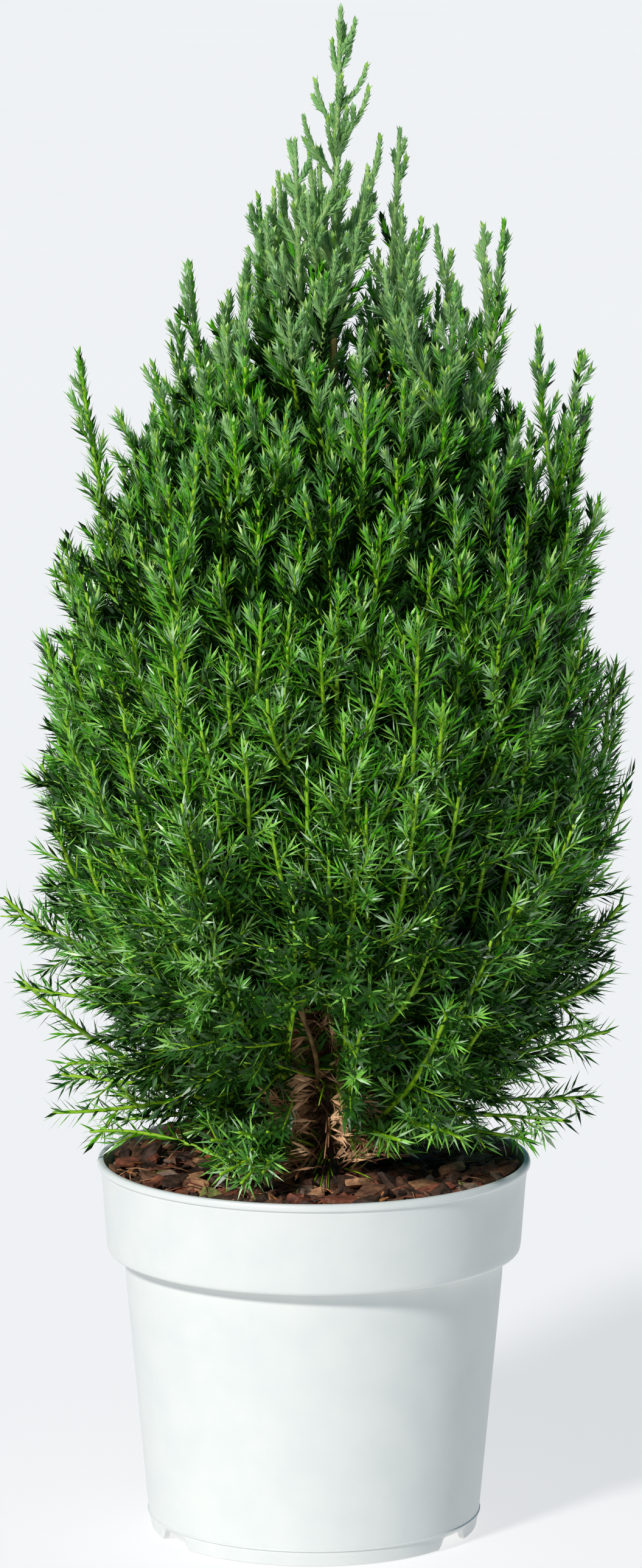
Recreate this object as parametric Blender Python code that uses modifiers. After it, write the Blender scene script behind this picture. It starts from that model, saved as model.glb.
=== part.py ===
"""A young Chinese juniper of upright habit, growing in a round plastic nursery pot topped with bark mulch.

The pot is turned round the Z axis and stands on the plane z = 0, with the origin under its centre.
The front of the plant faces -Y. Everything is in metres.
The crown is a trunk, a ring of boughs and, round them, masses of foliage in tiers. Each mass grows from one
stem: the stem forks into side leaders, and all of them carry toothed sprays of needles set by a seeded rule.
A mass keeps to the space that lies nearer to its own leaders than to those of any other mass.
"""

import math
import random
from dataclasses import dataclass

import bmesh
import bpy
import numpy as np
from mathutils import Matrix, Vector

# The pot
RIM_RADIUS = 0.0950
POT_HEIGHT = 0.1654
WALL = 0.0016
LIP_HEIGHT = 0.0030
COLLAR_TOP_RADIUS = 0.0936
COLLAR_FOOT_RADIUS = 0.0907
COLLAR_FOOT_HEIGHT = 0.1245
BODY_TOP_RADIUS = 0.0832
SEAM_RADIUS = 0.0729
SEAM_HEIGHT = 0.0072
FLOOR_TOP = 0.0095
SKIRT_RADIUS = 0.0716
SKIRT_WIDTH = 0.0026
POT_STEPS = 36
NOTCH_AZIMUTHS = (-148.5, -31.5, 90.0)
NOTCH_WIDTH = 0.0170
NOTCH_HEIGHT = 0.0050

# What fills the pot
GAP = 0.0003
SOIL_TOP = 0.1440
MULCH_TOP = 0.1555
MULCH_RADIUS = 0.0895
FILL_STEPS = 24
CHIP_COUNT = 22
CHIP_LENGTH = 0.024

# The trunk, which leans a little to the right
TRUNK_FOOT = 0.1570
TRUNK_TOP = 0.5250
TRUNK_FOOT_X = 0.0060
TRUNK_LEAN_X = 0.0057
TRUNK_SWAY = 0.0016
TRUNK_RADIUS = 0.0058
TRUNK_TIP_RADIUS = 0.0016
TRUNK_SIDES = 10
FLARE_RADIUS = 0.0045
FLARE_RISE = 0.0120
LEADER_TIP_HEIGHT = 0.6690

# Limbs and foliage
BOUGH_RADIUS = 0.0032
BOUGH_TIP_RADIUS = 0.0019
STEM_RADIUS = 0.0024
STEM_TIP_RADIUS = 0.0009
CORE_RADIUS = 0.0090
POINT_RADIUS = 0.0005
CORE_STEP = 0.023
CORE_SIDES = 3
CORE_RAGGEDNESS = 0.34
AXIS_STEP = 0.0025
LIMB_CLEARANCE = 0.0012
SPACE_MARGIN = 0.0009
SPRAY_SPACING = 0.0245
GOLDEN_ANGLE = math.radians(137.508)


@dataclass(frozen=True)
class Tier:
    """One ring of masses round the trunk."""

    name: str
    count: int
    first_azimuth: float
    root_height: float
    root_step: float
    reach: float
    tip_height: float
    early_reach: float
    early_rise: float
    late_rise: float
    bough_share: float
    side_leaders: int


TIERS = (
    Tier("crown", 5, 18.0, 0.400, 0.020, 0.038, 0.598, 0.80, 0.20, 0.60, 0.0, 1),
    Tier("tall", 8, 5.0, 0.262, 0.006, 0.082, 0.528, 0.74, 0.16, 0.55, 0.20, 2),
    Tier("mid", 9, 1.0, 0.214, 0.003, 0.113, 0.436, 0.70, 0.16, 0.55, 0.26, 2),
    Tier("low", 8, 8.0, 0.184, 0.002, 0.130, 0.326, 0.66, 0.22, 0.58, 0.0, 2),
    Tier("skirt", 7, 2.0, 0.166, 0.001, 0.122, 0.214, 0.45, 0.30, 0.80, 0.0, 2),
)

# Tips whose places the photograph shows, in millimetres: x to the right, y away from the viewer, z up.
SEEN_TIPS = {
    "crown_0": (37, 12, 616),
    "crown_2": (-24, 8, 589),
    "crown_3": (-8, -16, 615),
    "crown_4": (46, -22, 581),
    "tall_0": (82, 10, 577),
    "tall_4": (-53, -12, 561),
    "tall_5": (-34, -72, 502),
    "tall_6": (22, -78, 516),
    "tall_7": (60, -48, 556),
    "mid_0": (115, -8, 524),
    "mid_1": (110, 46, 492),
    "mid_4": (-108, 36, 438),
    "mid_5": (-101, -14, 523),
    "mid_6": (-62, -92, 456),
    "mid_7": (10, -112, 440),
    "mid_8": (84, -84, 442),
    "low_0": (137, -12, 334),
    "low_1": (112, 62, 384),
    "low_3": (-104, 64, 392),
    "low_4": (-120, 2, 344),
    "low_5": (-56, -112, 346),
    "low_6": (44, -120, 352),
    "low_7": (112, -72, 330),
    "skirt_0": (127, 8, 222),
    "skirt_3": (-114, 46, 196),
    "skirt_4": (-131, -16, 272),
    "skirt_5": (-31, -72, 177),
    "skirt_6": (66, -86, 190),
}

# How far the foliage reaches from the pot's axis, against height
CROWN_OUTLINE = (
    (0.160, 0.120),
    (0.225, 0.134),
    (0.330, 0.143),
    (0.450, 0.130),
    (0.530, 0.118),
    (0.590, 0.082),
    (0.625, 0.042),
    (0.680, 0.018),
)

# Colour, roughness and metallic value of each finish
FINISHES = {
    "pot_plastic": ((0.74, 0.77, 0.76), 0.42, 0.0),
    "potting_soil": ((0.055, 0.035, 0.022), 0.95, 0.0),
    "bark_chips": ((0.135, 0.058, 0.030), 0.85, 0.0),
    "juniper_bark": ((0.23, 0.120, 0.065), 0.85, 0.0),
    "needles_top": ((0.105, 0.260, 0.120), 0.55, 0.0),
    "needles_body": ((0.050, 0.200, 0.030), 0.50, 0.0),
}


def clear_scene():
    """Removes whatever objects and collections the file opened with."""
    for thing in list(bpy.data.objects):
        bpy.data.objects.remove(thing)
    for group in list(bpy.data.collections):
        bpy.data.collections.remove(group)


def finish(name):
    """The material of that name, made on first use."""
    found = bpy.data.materials.get(name)
    if found:
        return found
    colour, roughness, metallic = FINISHES[name]
    made = bpy.data.materials.new(name)
    made.use_nodes = True
    shader = made.node_tree.nodes["Principled BSDF"]
    shader.inputs["Base Color"].default_value = (*colour, 1.0)
    shader.inputs["Roughness"].default_value = roughness
    shader.inputs["Metallic"].default_value = metallic
    return made


def new_object(name, mesh, collection, material=None):
    """An object holding this mesh, in this collection."""
    thing = bpy.data.objects.new(name, mesh)
    collection.objects.link(thing)
    if material:
        mesh.materials.clear()
        mesh.materials.append(finish(material))
    return thing


def mesh_from_bmesh(name, shape):
    """A mesh holding this bmesh, which is freed."""
    mesh = bpy.data.meshes.new(name)
    shape.to_mesh(mesh)
    shape.free()
    return mesh


def face_outwards(shape):
    """Turns all faces of a closed shape the same way, with their normals pointing out of it."""
    bmesh.ops.recalc_face_normals(shape, faces=shape.faces)
    if shape.calc_volume(signed=True) < 0:
        bmesh.ops.reverse_faces(shape, faces=shape.faces)


def evaluated_mesh(thing):
    """A new mesh of the object as its modifiers leave it."""
    graph = bpy.context.evaluated_depsgraph_get()
    graph.update()
    return bpy.data.meshes.new_from_object(thing.evaluated_get(graph))


def apply_modifiers(thing):
    """Makes the object's own mesh what its modifiers show."""
    mesh = evaluated_mesh(thing)
    thing.modifiers.clear()
    thing.data = mesh


def hide_cutter(thing):
    """Marks an object that only cuts others."""
    thing.hide_render = True
    thing.display_type = "WIRE"


def turned(name, profile, steps, collection, material):
    """A solid turned round Z from (radius, height) points that run from the axis, round the form, to the axis."""
    shape = bmesh.new()
    points = [shape.verts.new((radius, 0.0, height)) for radius, height in profile]
    for first, second in zip(points, points[1:]):
        shape.edges.new((first, second))
    thing = new_object(name, mesh_from_bmesh(name, shape), collection, material)
    screw = thing.modifiers.new("turn", "SCREW")
    screw.axis = "Z"
    screw.angle = 2 * math.pi
    screw.steps = screw.render_steps = steps
    screw.use_merge_vertices = True
    screw.merge_threshold = 0.00001
    return thing


def make_pot(parts, cutters):
    """The pot: a stepped wall with a lip, a raised floor, and a skirt with three notches under it."""
    inner_step = COLLAR_FOOT_HEIGHT + WALL
    profile = [
        (0.0, FLOOR_TOP),
        (SEAM_RADIUS - WALL - 0.0020, FLOOR_TOP),
        (BODY_TOP_RADIUS - WALL, inner_step),
        (COLLAR_FOOT_RADIUS - WALL, inner_step),
        (COLLAR_TOP_RADIUS - WALL, POT_HEIGHT),
        (RIM_RADIUS, POT_HEIGHT),
        (RIM_RADIUS, POT_HEIGHT - LIP_HEIGHT),
        (COLLAR_TOP_RADIUS, POT_HEIGHT - LIP_HEIGHT - 0.0006),
        (COLLAR_FOOT_RADIUS, COLLAR_FOOT_HEIGHT + 0.0014),
        (COLLAR_FOOT_RADIUS - 0.0016, COLLAR_FOOT_HEIGHT),
        (BODY_TOP_RADIUS, COLLAR_FOOT_HEIGHT),
        (SEAM_RADIUS, SEAM_HEIGHT),
        (SKIRT_RADIUS, 0.0),
        (SKIRT_RADIUS - SKIRT_WIDTH, 0.0),
        (SKIRT_RADIUS - SKIRT_WIDTH, SEAM_HEIGHT),
        (0.0, SEAM_HEIGHT),
    ]
    pot = turned("pot", profile, POT_STEPS, parts, "pot_plastic")
    reach = 3 * SKIRT_WIDTH
    for number, azimuth in enumerate(NOTCH_AZIMUTHS):
        shape = bmesh.new()
        bmesh.ops.create_cube(shape, size=1.0)
        roof = [corner for corner in shape.verts if corner.co.z > 0]
        bmesh.ops.scale(shape, vec=(1.0, 0.62, 1.0), verts=roof)
        place = (
            Matrix.Rotation(math.radians(azimuth), 4, "Z")
            @ Matrix.Translation((SKIRT_RADIUS - SKIRT_WIDTH / 2, 0.0, 0.0))
            @ Matrix.Diagonal((reach, NOTCH_WIDTH, 2 * NOTCH_HEIGHT, 1.0))
        )
        bmesh.ops.transform(shape, matrix=place, verts=shape.verts)
        name = f"notch_cutter_{number}"
        cutter = new_object(name, mesh_from_bmesh(name, shape), cutters)
        hide_cutter(cutter)
        notch = pot.modifiers.new(f"notch_{number}", "BOOLEAN")
        notch.operation = "DIFFERENCE"
        notch.object = cutter


def make_root_ball(parts):
    """The soil and roots that fill the pot, up to the underside of the mulch."""
    foot = SEAM_RADIUS - WALL - 0.0028
    step = COLLAR_FOOT_HEIGHT + WALL + GAP
    profile = [
        (0.0, SOIL_TOP),
        (MULCH_RADIUS, SOIL_TOP),
        (COLLAR_FOOT_RADIUS - WALL - 0.0010, step),
        (BODY_TOP_RADIUS - WALL - 0.0008, step),
        (foot, FLOOR_TOP + GAP),
        (0.0, FLOOR_TOP + GAP),
    ]
    turned("root_ball", profile, FILL_STEPS, parts, "potting_soil")


def bark_chip(rng, length):
    """A flat angular chip: a cube's eight corners pressed thin and jittered."""
    shape = bmesh.new()
    bmesh.ops.create_cube(shape, size=1.0)
    size = Vector((length, length * rng.uniform(0.45, 0.75), length * rng.uniform(0.16, 0.26)))
    for corner in shape.verts:
        for axis in range(3):
            corner.co[axis] *= size[axis] * rng.uniform(0.72, 1.0)
    return shape


def make_mulch(parts, scratch):
    """The layer of bark chips: a turned bed with chips fused on, bare round the trunk's foot."""
    bed_top = MULCH_TOP - 0.0040
    profile = [
        (0.0, TRUNK_FOOT - GAP),
        (0.0170, TRUNK_FOOT - GAP),
        (0.0260, bed_top),
        (MULCH_RADIUS, bed_top),
        (MULCH_RADIUS, SOIL_TOP + GAP),
        (0.0, SOIL_TOP + GAP),
    ]
    bed = turned("bark_mulch", profile, FILL_STEPS, parts, "bark_chips")
    apply_modifiers(bed)
    rng = random.Random("bark_mulch")
    for number in range(CHIP_COUNT):
        radius = 0.029 + 0.047 * math.sqrt((number + 0.5) / CHIP_COUNT)
        azimuth = number * GOLDEN_ANGLE
        shape = bark_chip(rng, CHIP_LENGTH * rng.uniform(0.7, 1.15))
        height = bed_top + rng.uniform(0.0002, 0.0022)
        place = (
            Matrix.Translation((radius * math.cos(azimuth), radius * math.sin(azimuth), height))
            @ Matrix.Rotation(rng.uniform(0, 2 * math.pi), 4, "Z")
            @ Matrix.Rotation(rng.uniform(-0.32, 0.32), 4, "X")
            @ Matrix.Rotation(rng.uniform(-0.30, 0.30), 4, "Y")
        )
        bmesh.ops.transform(shape, matrix=place, verts=shape.verts)
        name = f"chip_{number}"
        new_object(name, mesh_from_bmesh(name, shape), scratch)
    fuse(bed, scratch)


def fuse(base, pieces):
    """Joins the collection's pieces to the base in one union, then removes them and any loose or inner scrap."""
    union = base.modifiers.new("union", "BOOLEAN")
    union.operation = "UNION"
    union.operand_type = "COLLECTION"
    union.collection = pieces
    union.solver = "MANIFOLD"
    apply_modifiers(base)
    for thing in list(pieces.objects):
        bpy.data.objects.remove(thing)
    keep_largest_body(base.data)


def keep_largest_body(mesh):
    """Deletes all of the mesh's separate shells but the one with the largest box, so scraps and sealed hollows go."""
    shape = bmesh.new()
    shape.from_mesh(mesh)
    unseen = set(shape.faces)
    shells = []
    while unseen:
        front = [unseen.pop()]
        shell = list(front)
        while front:
            for edge in front.pop().edges:
                for face in edge.link_faces:
                    if face in unseen:
                        unseen.remove(face)
                        shell.append(face)
                        front.append(face)
        shells.append(shell)

    def box_size(shell):
        corners = np.array([corner.co for face in shell for corner in face.verts])
        return float(np.linalg.norm(np.ptp(corners, axis=0)))

    shells.sort(key=box_size)
    loose = [face for shell in shells[:-1] for face in shell]
    bmesh.ops.delete(shape, geom=loose, context="FACES")
    shape.to_mesh(mesh)
    shape.free()


def trunk_point(height):
    """The trunk's centre at a height: a straight lean with one slow sway across it."""
    share = (height - TRUNK_FOOT) / (LEADER_TIP_HEIGHT - TRUNK_FOOT)
    sway = TRUNK_SWAY * math.sin(2 * math.pi * share)
    return np.array([TRUNK_FOOT_X + TRUNK_LEAN_X * share + sway, -sway, height])


def trunk_radius(height):
    """The trunk's radius at a height: an even taper with a flare at the roots."""
    share = (height - TRUNK_FOOT) / (TRUNK_TOP - TRUNK_FOOT)
    taper = TRUNK_RADIUS + (TRUNK_TIP_RADIUS - TRUNK_RADIUS) * share
    return taper + FLARE_RADIUS * math.exp(-(height - TRUNK_FOOT) / FLARE_RISE)


def tube(name, points, radii, sides, collection, material=None):
    """A closed tapering limb along the points: a curve bevelled by a ring of that many sides, made a mesh."""
    ring = bpy.data.curves.new(f"{name}_ring", "CURVE")
    ring.dimensions = "2D"
    outline = ring.splines.new("POLY")
    outline.points.add(sides - 1)
    for number, point in enumerate(outline.points):
        angle = 2 * math.pi * number / sides
        point.co = (math.cos(angle), math.sin(angle), 0.0, 1.0)
    outline.use_cyclic_u = True
    ring_object = bpy.data.objects.new(f"{name}_ring", ring)
    curve = bpy.data.curves.new(name, "CURVE")
    curve.dimensions = "3D"
    curve.bevel_mode = "OBJECT"
    curve.bevel_object = ring_object
    curve.use_fill_caps = True
    spline = curve.splines.new("POLY")
    spline.points.add(len(points) - 1)
    for point, place, radius in zip(spline.points, points, radii):
        point.co = (*map(float, place), 1.0)
        point.radius = radius
    guide = bpy.data.objects.new(name, curve)
    collection.objects.link(guide)
    mesh = evaluated_mesh(guide)
    shape = bmesh.new()
    shape.from_mesh(mesh)
    bmesh.ops.remove_doubles(shape, verts=shape.verts, dist=0.00001)
    face_outwards(shape)
    shape.to_mesh(mesh)
    shape.free()
    for thing in (guide, ring_object):
        bpy.data.objects.remove(thing)
    return new_object(name, mesh, collection, material)


def trunk_tube(name, extra, collection, material=None):
    """The trunk's form, from its flat cut at the mulch to its tip, grown all round by an extra thickness."""
    rises = [0.0, 0.004, 0.010, 0.020, 0.045, 0.095, 0.150, 0.210, 0.270, 0.325]
    heights = [TRUNK_FOOT + rise for rise in rises] + [TRUNK_TOP]
    points = [trunk_point(height) for height in heights]
    points[0] = points[1] * (1, 1, 0) + np.array([0.0, 0.0, TRUNK_FOOT])
    radii = [trunk_radius(height) + extra for height in heights]
    trunk = tube(name, points, radii, TRUNK_SIDES, collection, material)
    for corner in trunk.data.vertices:
        if corner.co.z < TRUNK_FOOT + 0.002:
            corner.co.z = TRUNK_FOOT
    return trunk


def cut_clear(thing, cutter):
    """Cuts away what lies inside the cutter, and applies the cut."""
    cut = thing.modifiers.new("clearance", "BOOLEAN")
    cut.operation = "DIFFERENCE"
    cut.object = cutter
    cut.solver = "MANIFOLD"
    apply_modifiers(thing)
    keep_largest_body(thing.data)


def bezier(start, first, second, end, count):
    """Points of a cubic curve, evenly spaced in its parameter."""
    t = np.linspace(0.0, 1.0, count)[:, None]
    u = 1.0 - t
    return u**3 * start + 3 * u**2 * t * first + 3 * u * t**2 * second + t**3 * end


def resampled(points, step):
    """The polyline's points set a step apart, both ends kept."""
    lengths = np.concatenate([[0.0], np.cumsum(np.linalg.norm(np.diff(points, axis=0), axis=1))])
    count = max(2, int(round(lengths[-1] / step)) + 1)
    wanted = np.linspace(0.0, lengths[-1], count)
    return np.stack([np.interp(wanted, lengths, points[:, axis]) for axis in range(3)], axis=1)


def unit(vector):
    """The vector at length one."""
    return vector / np.linalg.norm(vector)


@dataclass
class Mass:
    """One mass of foliage: where it springs from, and the leaders that carry its sprays."""

    name: str
    bough: np.ndarray | None
    axes: list


def tier_tip(tier, number):
    """Where a mass's tip is: as the photograph shows it, or else by the tier's own ring with a slow wave on it."""
    name = f"{tier.name}_{number}"
    if name in SEEN_TIPS:
        return np.array(SEEN_TIPS[name]) / 1000.0
    azimuth = math.radians(tier.first_azimuth + 360.0 * number / tier.count)
    wave = math.sin(2.4 * number + len(tier.name))
    reach = tier.reach * (1.0 + 0.05 * wave)
    height = tier.tip_height + 0.012 * math.cos(1.7 * number)
    return np.array([reach * math.cos(azimuth), reach * math.sin(azimuth), height])


def limb_path(tier, number):
    """The path from the trunk's centre to a mass's tip: out from the trunk first, then upwards."""
    tip = tier_tip(tier, number)
    root = trunk_point(tier.root_height + tier.root_step * ((3 * number + 1) % tier.count))
    across = tip - root
    rise = across[2]
    across[2] = 0.0
    first = root + across * tier.early_reach * 0.72
    first[2] += rise * tier.early_rise
    second = root + across * (0.5 + 0.5 * tier.early_reach)
    second[2] += rise * tier.late_rise
    if tier.name == "skirt":
        first[2] += 0.10 * np.linalg.norm(across)
        second[2] += 0.12 * np.linalg.norm(across)
    return resampled(bezier(root, first, second, tip, 60), AXIS_STEP)


def side_leader(main, share, side, rng):
    """A leader that forks off the main one, leans out sideways and then runs on beside it."""
    count = len(main)
    start = int(share * count)
    end = min(count - 1, start + int(count * rng.uniform(0.40, 0.52)))
    ahead = unit(main[min(count - 1, start + 3)] - main[start])
    outward = unit(main[end] * (1, 1, 0) + np.array([1e-6, 0, 0]))
    sideways = unit(np.cross(ahead, outward)) * side
    drift = rng.uniform(0.018, 0.026)
    tip = main[end] + sideways * drift + outward * rng.uniform(0.0, 0.006)
    length = np.linalg.norm(tip - main[start])
    first = main[start] + (ahead + 0.75 * sideways) * length * 0.30
    second = tip - unit(main[end] - main[end - 3]) * length * 0.35
    return resampled(bezier(main[start], first, second, tip, 40), AXIS_STEP)


def clear_of(points, others, gap):
    """Whether every point is at least the gap from every one of the others."""
    if not len(others):
        return True
    return np.linalg.norm(points[:, None] - others[None], axis=2).min() >= gap


def plan_masses():
    """Every mass with its bough and leaders. Side leaders that would crowd another mass or a limb are left out."""
    masses = []
    limbs = {}
    for tier in TIERS:
        for number in range(tier.count):
            path = limb_path(tier, number)
            name = f"{tier.name}_{number}"
            if tier.bough_share:
                split = int(tier.bough_share * len(path))
                limbs[name] = path[: split + 1]
                direction = unit(path[split + 1] - path[split])
                start = path[split] + direction * GAP
                masses.append(Mass(name, limbs[name], [np.vstack([start, path[split + 1 :]])]))
            else:
                masses.append(Mass(name, None, [path]))
    steps = int((LEADER_TIP_HEIGHT - TRUNK_TOP) / AXIS_STEP)
    heights = np.linspace(TRUNK_TOP + GAP, LEADER_TIP_HEIGHT, steps)
    leader = np.array([trunk_point(height) for height in heights])
    masses.append(Mass("leader", None, [leader]))
    mains = {mass.name: mass.axes[0] for mass in masses}
    taken = {name: [axis] for name, axis in mains.items()}
    limb_points = np.vstack(list(limbs.values()))
    counts = {tier.name: tier.side_leaders for tier in TIERS} | {"leader": 0}
    for mass in masses:
        rng = random.Random(mass.name)
        for fork in range(counts[mass.name.split("_")[0]]):
            side = 1 if (fork + len(mass.name)) % 2 else -1
            axis = side_leader(mass.axes[0], 0.10 + 0.24 * fork, side, rng)
            beyond = axis[4:]
            others = np.vstack([a for name, axes in taken.items() if name != mass.name for a in axes])
            if clear_of(beyond, others, 0.011) and clear_of(beyond, limb_points, 0.006):
                mass.axes.append(axis)
                taken[mass.name].append(axis)
    return masses, limbs


class Space:
    """Tells whether a shape keeps to its own mass's space and off the limbs."""

    def __init__(self, masses, limbs):
        self.names = [mass.name for mass in masses]
        points = [(number, point) for number, mass in enumerate(masses) for axis in mass.axes for point in axis]
        self.owner = np.array([number for number, _ in points])
        self.points = np.array([point for _, point in points])
        heights = np.arange(TRUNK_FOOT, TRUNK_TOP, AXIS_STEP)
        trunk = np.array([trunk_point(height) for height in heights])
        radii = [np.array([trunk_radius(height) for height in heights])]
        radii += [np.full(len(limb), BOUGH_RADIUS) for limb in limbs.values()]
        self.limbs = np.vstack([trunk, *limbs.values()])
        self.limb_radii = np.concatenate(radii)
        owners = ["trunk"] * len(trunk) + [name for name, limb in limbs.items() for _ in limb]
        self.limb_names = np.array(owners)

    def room(self, mass, places):
        """How thick a leader can be at these places: half way to any other mass, and clear of every limb."""
        number = self.names.index(mass.name)
        other = self.points[self.owner != number]
        half_way = np.linalg.norm(places[:, None] - other[None], axis=2).min(axis=1) / 2 - SPACE_MARGIN
        keep = self.limb_names != mass.name
        to_limb = np.linalg.norm(places[:, None] - self.limbs[keep][None], axis=2) - self.limb_radii[keep]
        return np.minimum(half_way, to_limb.min(axis=1) - LIMB_CLEARANCE)

    def holds(self, name, corners):
        """Whether these points lie nearer to this mass's leaders than to any other's, clear of limbs and pot."""
        number = self.names.index(name)
        far = np.linalg.norm(corners[:, None] - self.points[None], axis=2)
        own = far[:, self.owner == number].min(axis=1)
        other = far[:, self.owner != number].min(axis=1)
        to_limb = np.linalg.norm(corners[:, None] - self.limbs[None], axis=2) - self.limb_radii
        height = corners[:, 2]
        radius = np.linalg.norm(corners[:, :2], axis=1)
        reach = np.interp(height, *zip(*CROWN_OUTLINE))
        over_pot = (height > MULCH_TOP + 0.0065) & ((height > POT_HEIGHT + 0.0015) | (radius < RIM_RADIUS - 0.006))
        beside_pot = (radius > RIM_RADIUS + 0.003) & (height > POT_HEIGHT - 0.004)
        return bool(
            (other - own > 2 * SPACE_MARGIN).all()
            and to_limb.min() > LIMB_CLEARANCE
            and (over_pot | beside_pot).all()
            and (radius < reach).all()
            and height.max() < LEADER_TIP_HEIGHT + 0.0002
        )


# A spray's outline, as shares of its length, half width and thickness: a root, two teeth with a notch between
# them on either side, and a tip. The teeth stand out of its plane a little, those of one side opposite ways.
SPRAY_OUTLINE = (
    (0.00, 0.00, 0.0),
    (0.40, 0.90, 0.8),
    (0.47, 0.40, 0.0),
    (0.72, 0.68, -0.7),
    (1.00, 0.00, 0.0),
    (0.72, -0.68, 0.7),
    (0.47, -0.40, 0.0),
    (0.40, -0.90, -0.8),
)
SPRAY_RIDGE = 0.34
SPRAY_THICKNESS = 0.20
# A spray that would leave its mass's space is tried again at these sizes before it is left out. It also keeps
# this share of its length away from the mass's other sprays.
SPRAY_SIZES = (1.0, 0.80)
SPRAY_GAP = 0.13


def spray_points(place, along, face, length, width, held_by_tip, size):
    """A spray's outline and two ridge points in space, from where its root or its tip is, and how it points."""
    length *= size
    width *= size
    base = place - along * length if held_by_tip else place
    across = unit(np.cross(along, face))
    normal = np.cross(across, along)
    thick = width * SPRAY_THICKNESS
    outline = [
        base + along * u * length + across * v * width / 2 + normal * w * thick / 2
        for u, v, w in SPRAY_OUTLINE
    ]
    middle = base + along * SPRAY_RIDGE * length
    ridges = [middle + normal * thick, middle - normal * thick]
    return np.array(ridges + outline)


def spray_mesh(name, corners):
    """A toothed blade: a ball of two bands whose equator is drawn out to the outline and its poles to the ridges."""
    shape = bmesh.new()
    bmesh.ops.create_uvsphere(shape, u_segments=len(corners) - 2, v_segments=2, radius=1.0)
    for corner in shape.verts:
        if abs(corner.co.z) > 0.5:
            corner.co = corners[0 if corner.co.z > 0 else 1]
        else:
            turn = math.atan2(corner.co.y, corner.co.x) % (2 * math.pi)
            number = int(round(turn / (2 * math.pi) * (len(corners) - 2))) % (len(corners) - 2)
            corner.co = corners[2 + number]
    face_outwards(shape)
    return mesh_from_bmesh(name, shape)


def height_share(height):
    """How far up the crown a height is, from 0 at the mulch to 1 at the tip."""
    return min(1.0, max(0.0, (height - TRUNK_FOOT) / (LEADER_TIP_HEIGHT - TRUNK_FOOT)))


def axis_sprays(mass, axis, rng):
    """The sprays of one leader: one at its tip, then others a turn of the golden angle apart, shorter and steeper
    towards the tip."""
    ahead = unit(axis[-1] - axis[-4])
    length = 0.028 - 0.008 * height_share(axis[-1][2])
    outward = unit((axis[-1] - trunk_point(axis[-1][2])) * (1, 1, 0) + np.array([1e-6, 0, 0]))
    sprays = [(axis[-1], ahead, outward, length, length * 0.34, True)]
    run = AXIS_STEP * (len(axis) - 1)
    place = rng.uniform(0.25, 0.6) * SPRAY_SPACING
    turn = rng.uniform(0, 2 * math.pi)
    while place < run - 0.006:
        index = min(len(axis) - 2, int(place / AXIS_STEP))
        share = place / run
        high = height_share(axis[index][2])
        ahead = unit(axis[index + 1] - axis[index])
        outward = unit((axis[index] - trunk_point(axis[index][2])) * (1, 1, 0) + np.array([1e-6, 0, 0]))
        level = unit(np.cross(ahead, (0.3, 0.2, 0.9)))
        other = np.cross(ahead, level)
        ring = math.cos(turn) * level + math.sin(turn) * other
        ring = unit(ring + 0.20 * outward)
        lean = math.radians(52 - 22 * high - 16 * share) * rng.uniform(0.85, 1.15)
        along = unit(math.cos(lean) * ahead + math.sin(lean) * ring)
        length = (0.070 - 0.044 * high) * (1.0 - 0.30 * share**2) * rng.uniform(0.88, 1.12)
        width = length * (0.46 - 0.08 * high)
        face = unit(np.cross(along, ahead) * rng.uniform(-0.6, 0.6) + outward + 0.2 * ring)
        sprays.append((axis[index], along, face, length, width, False))
        turn += GOLDEN_ANGLE
        place += SPRAY_SPACING * (1.0 - 0.35 * share) * rng.uniform(0.9, 1.1)
    return sprays


def core_radii(axis, shares, size, room):
    """The radii of a leader's core: a bare stem that swells, as far as there is room, and tapers to the tip."""
    high = height_share(axis[-1][2])
    swell = np.sin(np.pi * np.clip((shares - 0.12) / 0.88, 0.0, 1.0) ** 0.8) ** 0.7
    ragged = 1.0 + CORE_RAGGEDNESS * np.cos(np.pi * np.arange(len(shares)))
    stem = size * (STEM_RADIUS + (STEM_TIP_RADIUS - STEM_RADIUS) * shares)
    needles = size * CORE_RADIUS * (1.0 - 0.45 * high) * swell * ragged
    radii = stem + np.minimum(needles, np.maximum(0.0, room - stem))
    radii[-1] = POINT_RADIUS
    return radii


def make_mass(mass, space, parts, scratch, trunk_cutter):
    """One mass: leaders with slim cores and toothed sprays sunk into them, all fused."""
    rng = random.Random(f"{mass.name} sprays")
    base = None
    made = 0
    crowd = [np.full((1, 3), 9.0)]
    for number, axis in enumerate(mass.axes):
        stop = len(axis) - 3
        picks = np.unique(np.linspace(0, stop, max(4, int(len(axis) * AXIS_STEP / CORE_STEP))).astype(int))
        room = space.room(mass, axis[picks])
        radii = core_radii(axis, picks / len(axis), 1.0 if number == 0 else 0.85, room)
        name = mass.name if number == 0 else f"{mass.name}_leader_{number}"
        high = height_share(axis[-1][2]) > 0.62
        home = parts if number == 0 else scratch
        colour = "needles_top" if high else "needles_body"
        stem = tube(name, axis[picks], radii, CORE_SIDES, home, colour)
        base = base or stem
    for number, axis in enumerate(mass.axes):
        others = [other for other in mass.axes if other is not axis]
        for spray in axis_sprays(mass, axis, rng):
            for size in SPRAY_SIZES:
                corners = spray_points(*spray, size)
                middles = (corners + np.roll(corners, 1, axis=0)) / 2
                points = np.vstack([corners, middles])
                away = points[np.linalg.norm(points - corners[2], axis=1) > 0.34 * spray[3] * size]
                if not clear_of(away, np.vstack(others + crowd), SPRAY_GAP * spray[3] * size):
                    continue
                if space.holds(mass.name, points):
                    crowd.append(points)
                    name = f"{mass.name}_spray_{made}"
                    new_object(name, spray_mesh(name, corners), scratch)
                    made += 1
                    break
    fuse(base, scratch)
    if mass.bough is None and mass.name != "leader":
        cut_clear(base, trunk_cutter)
    return made


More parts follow.
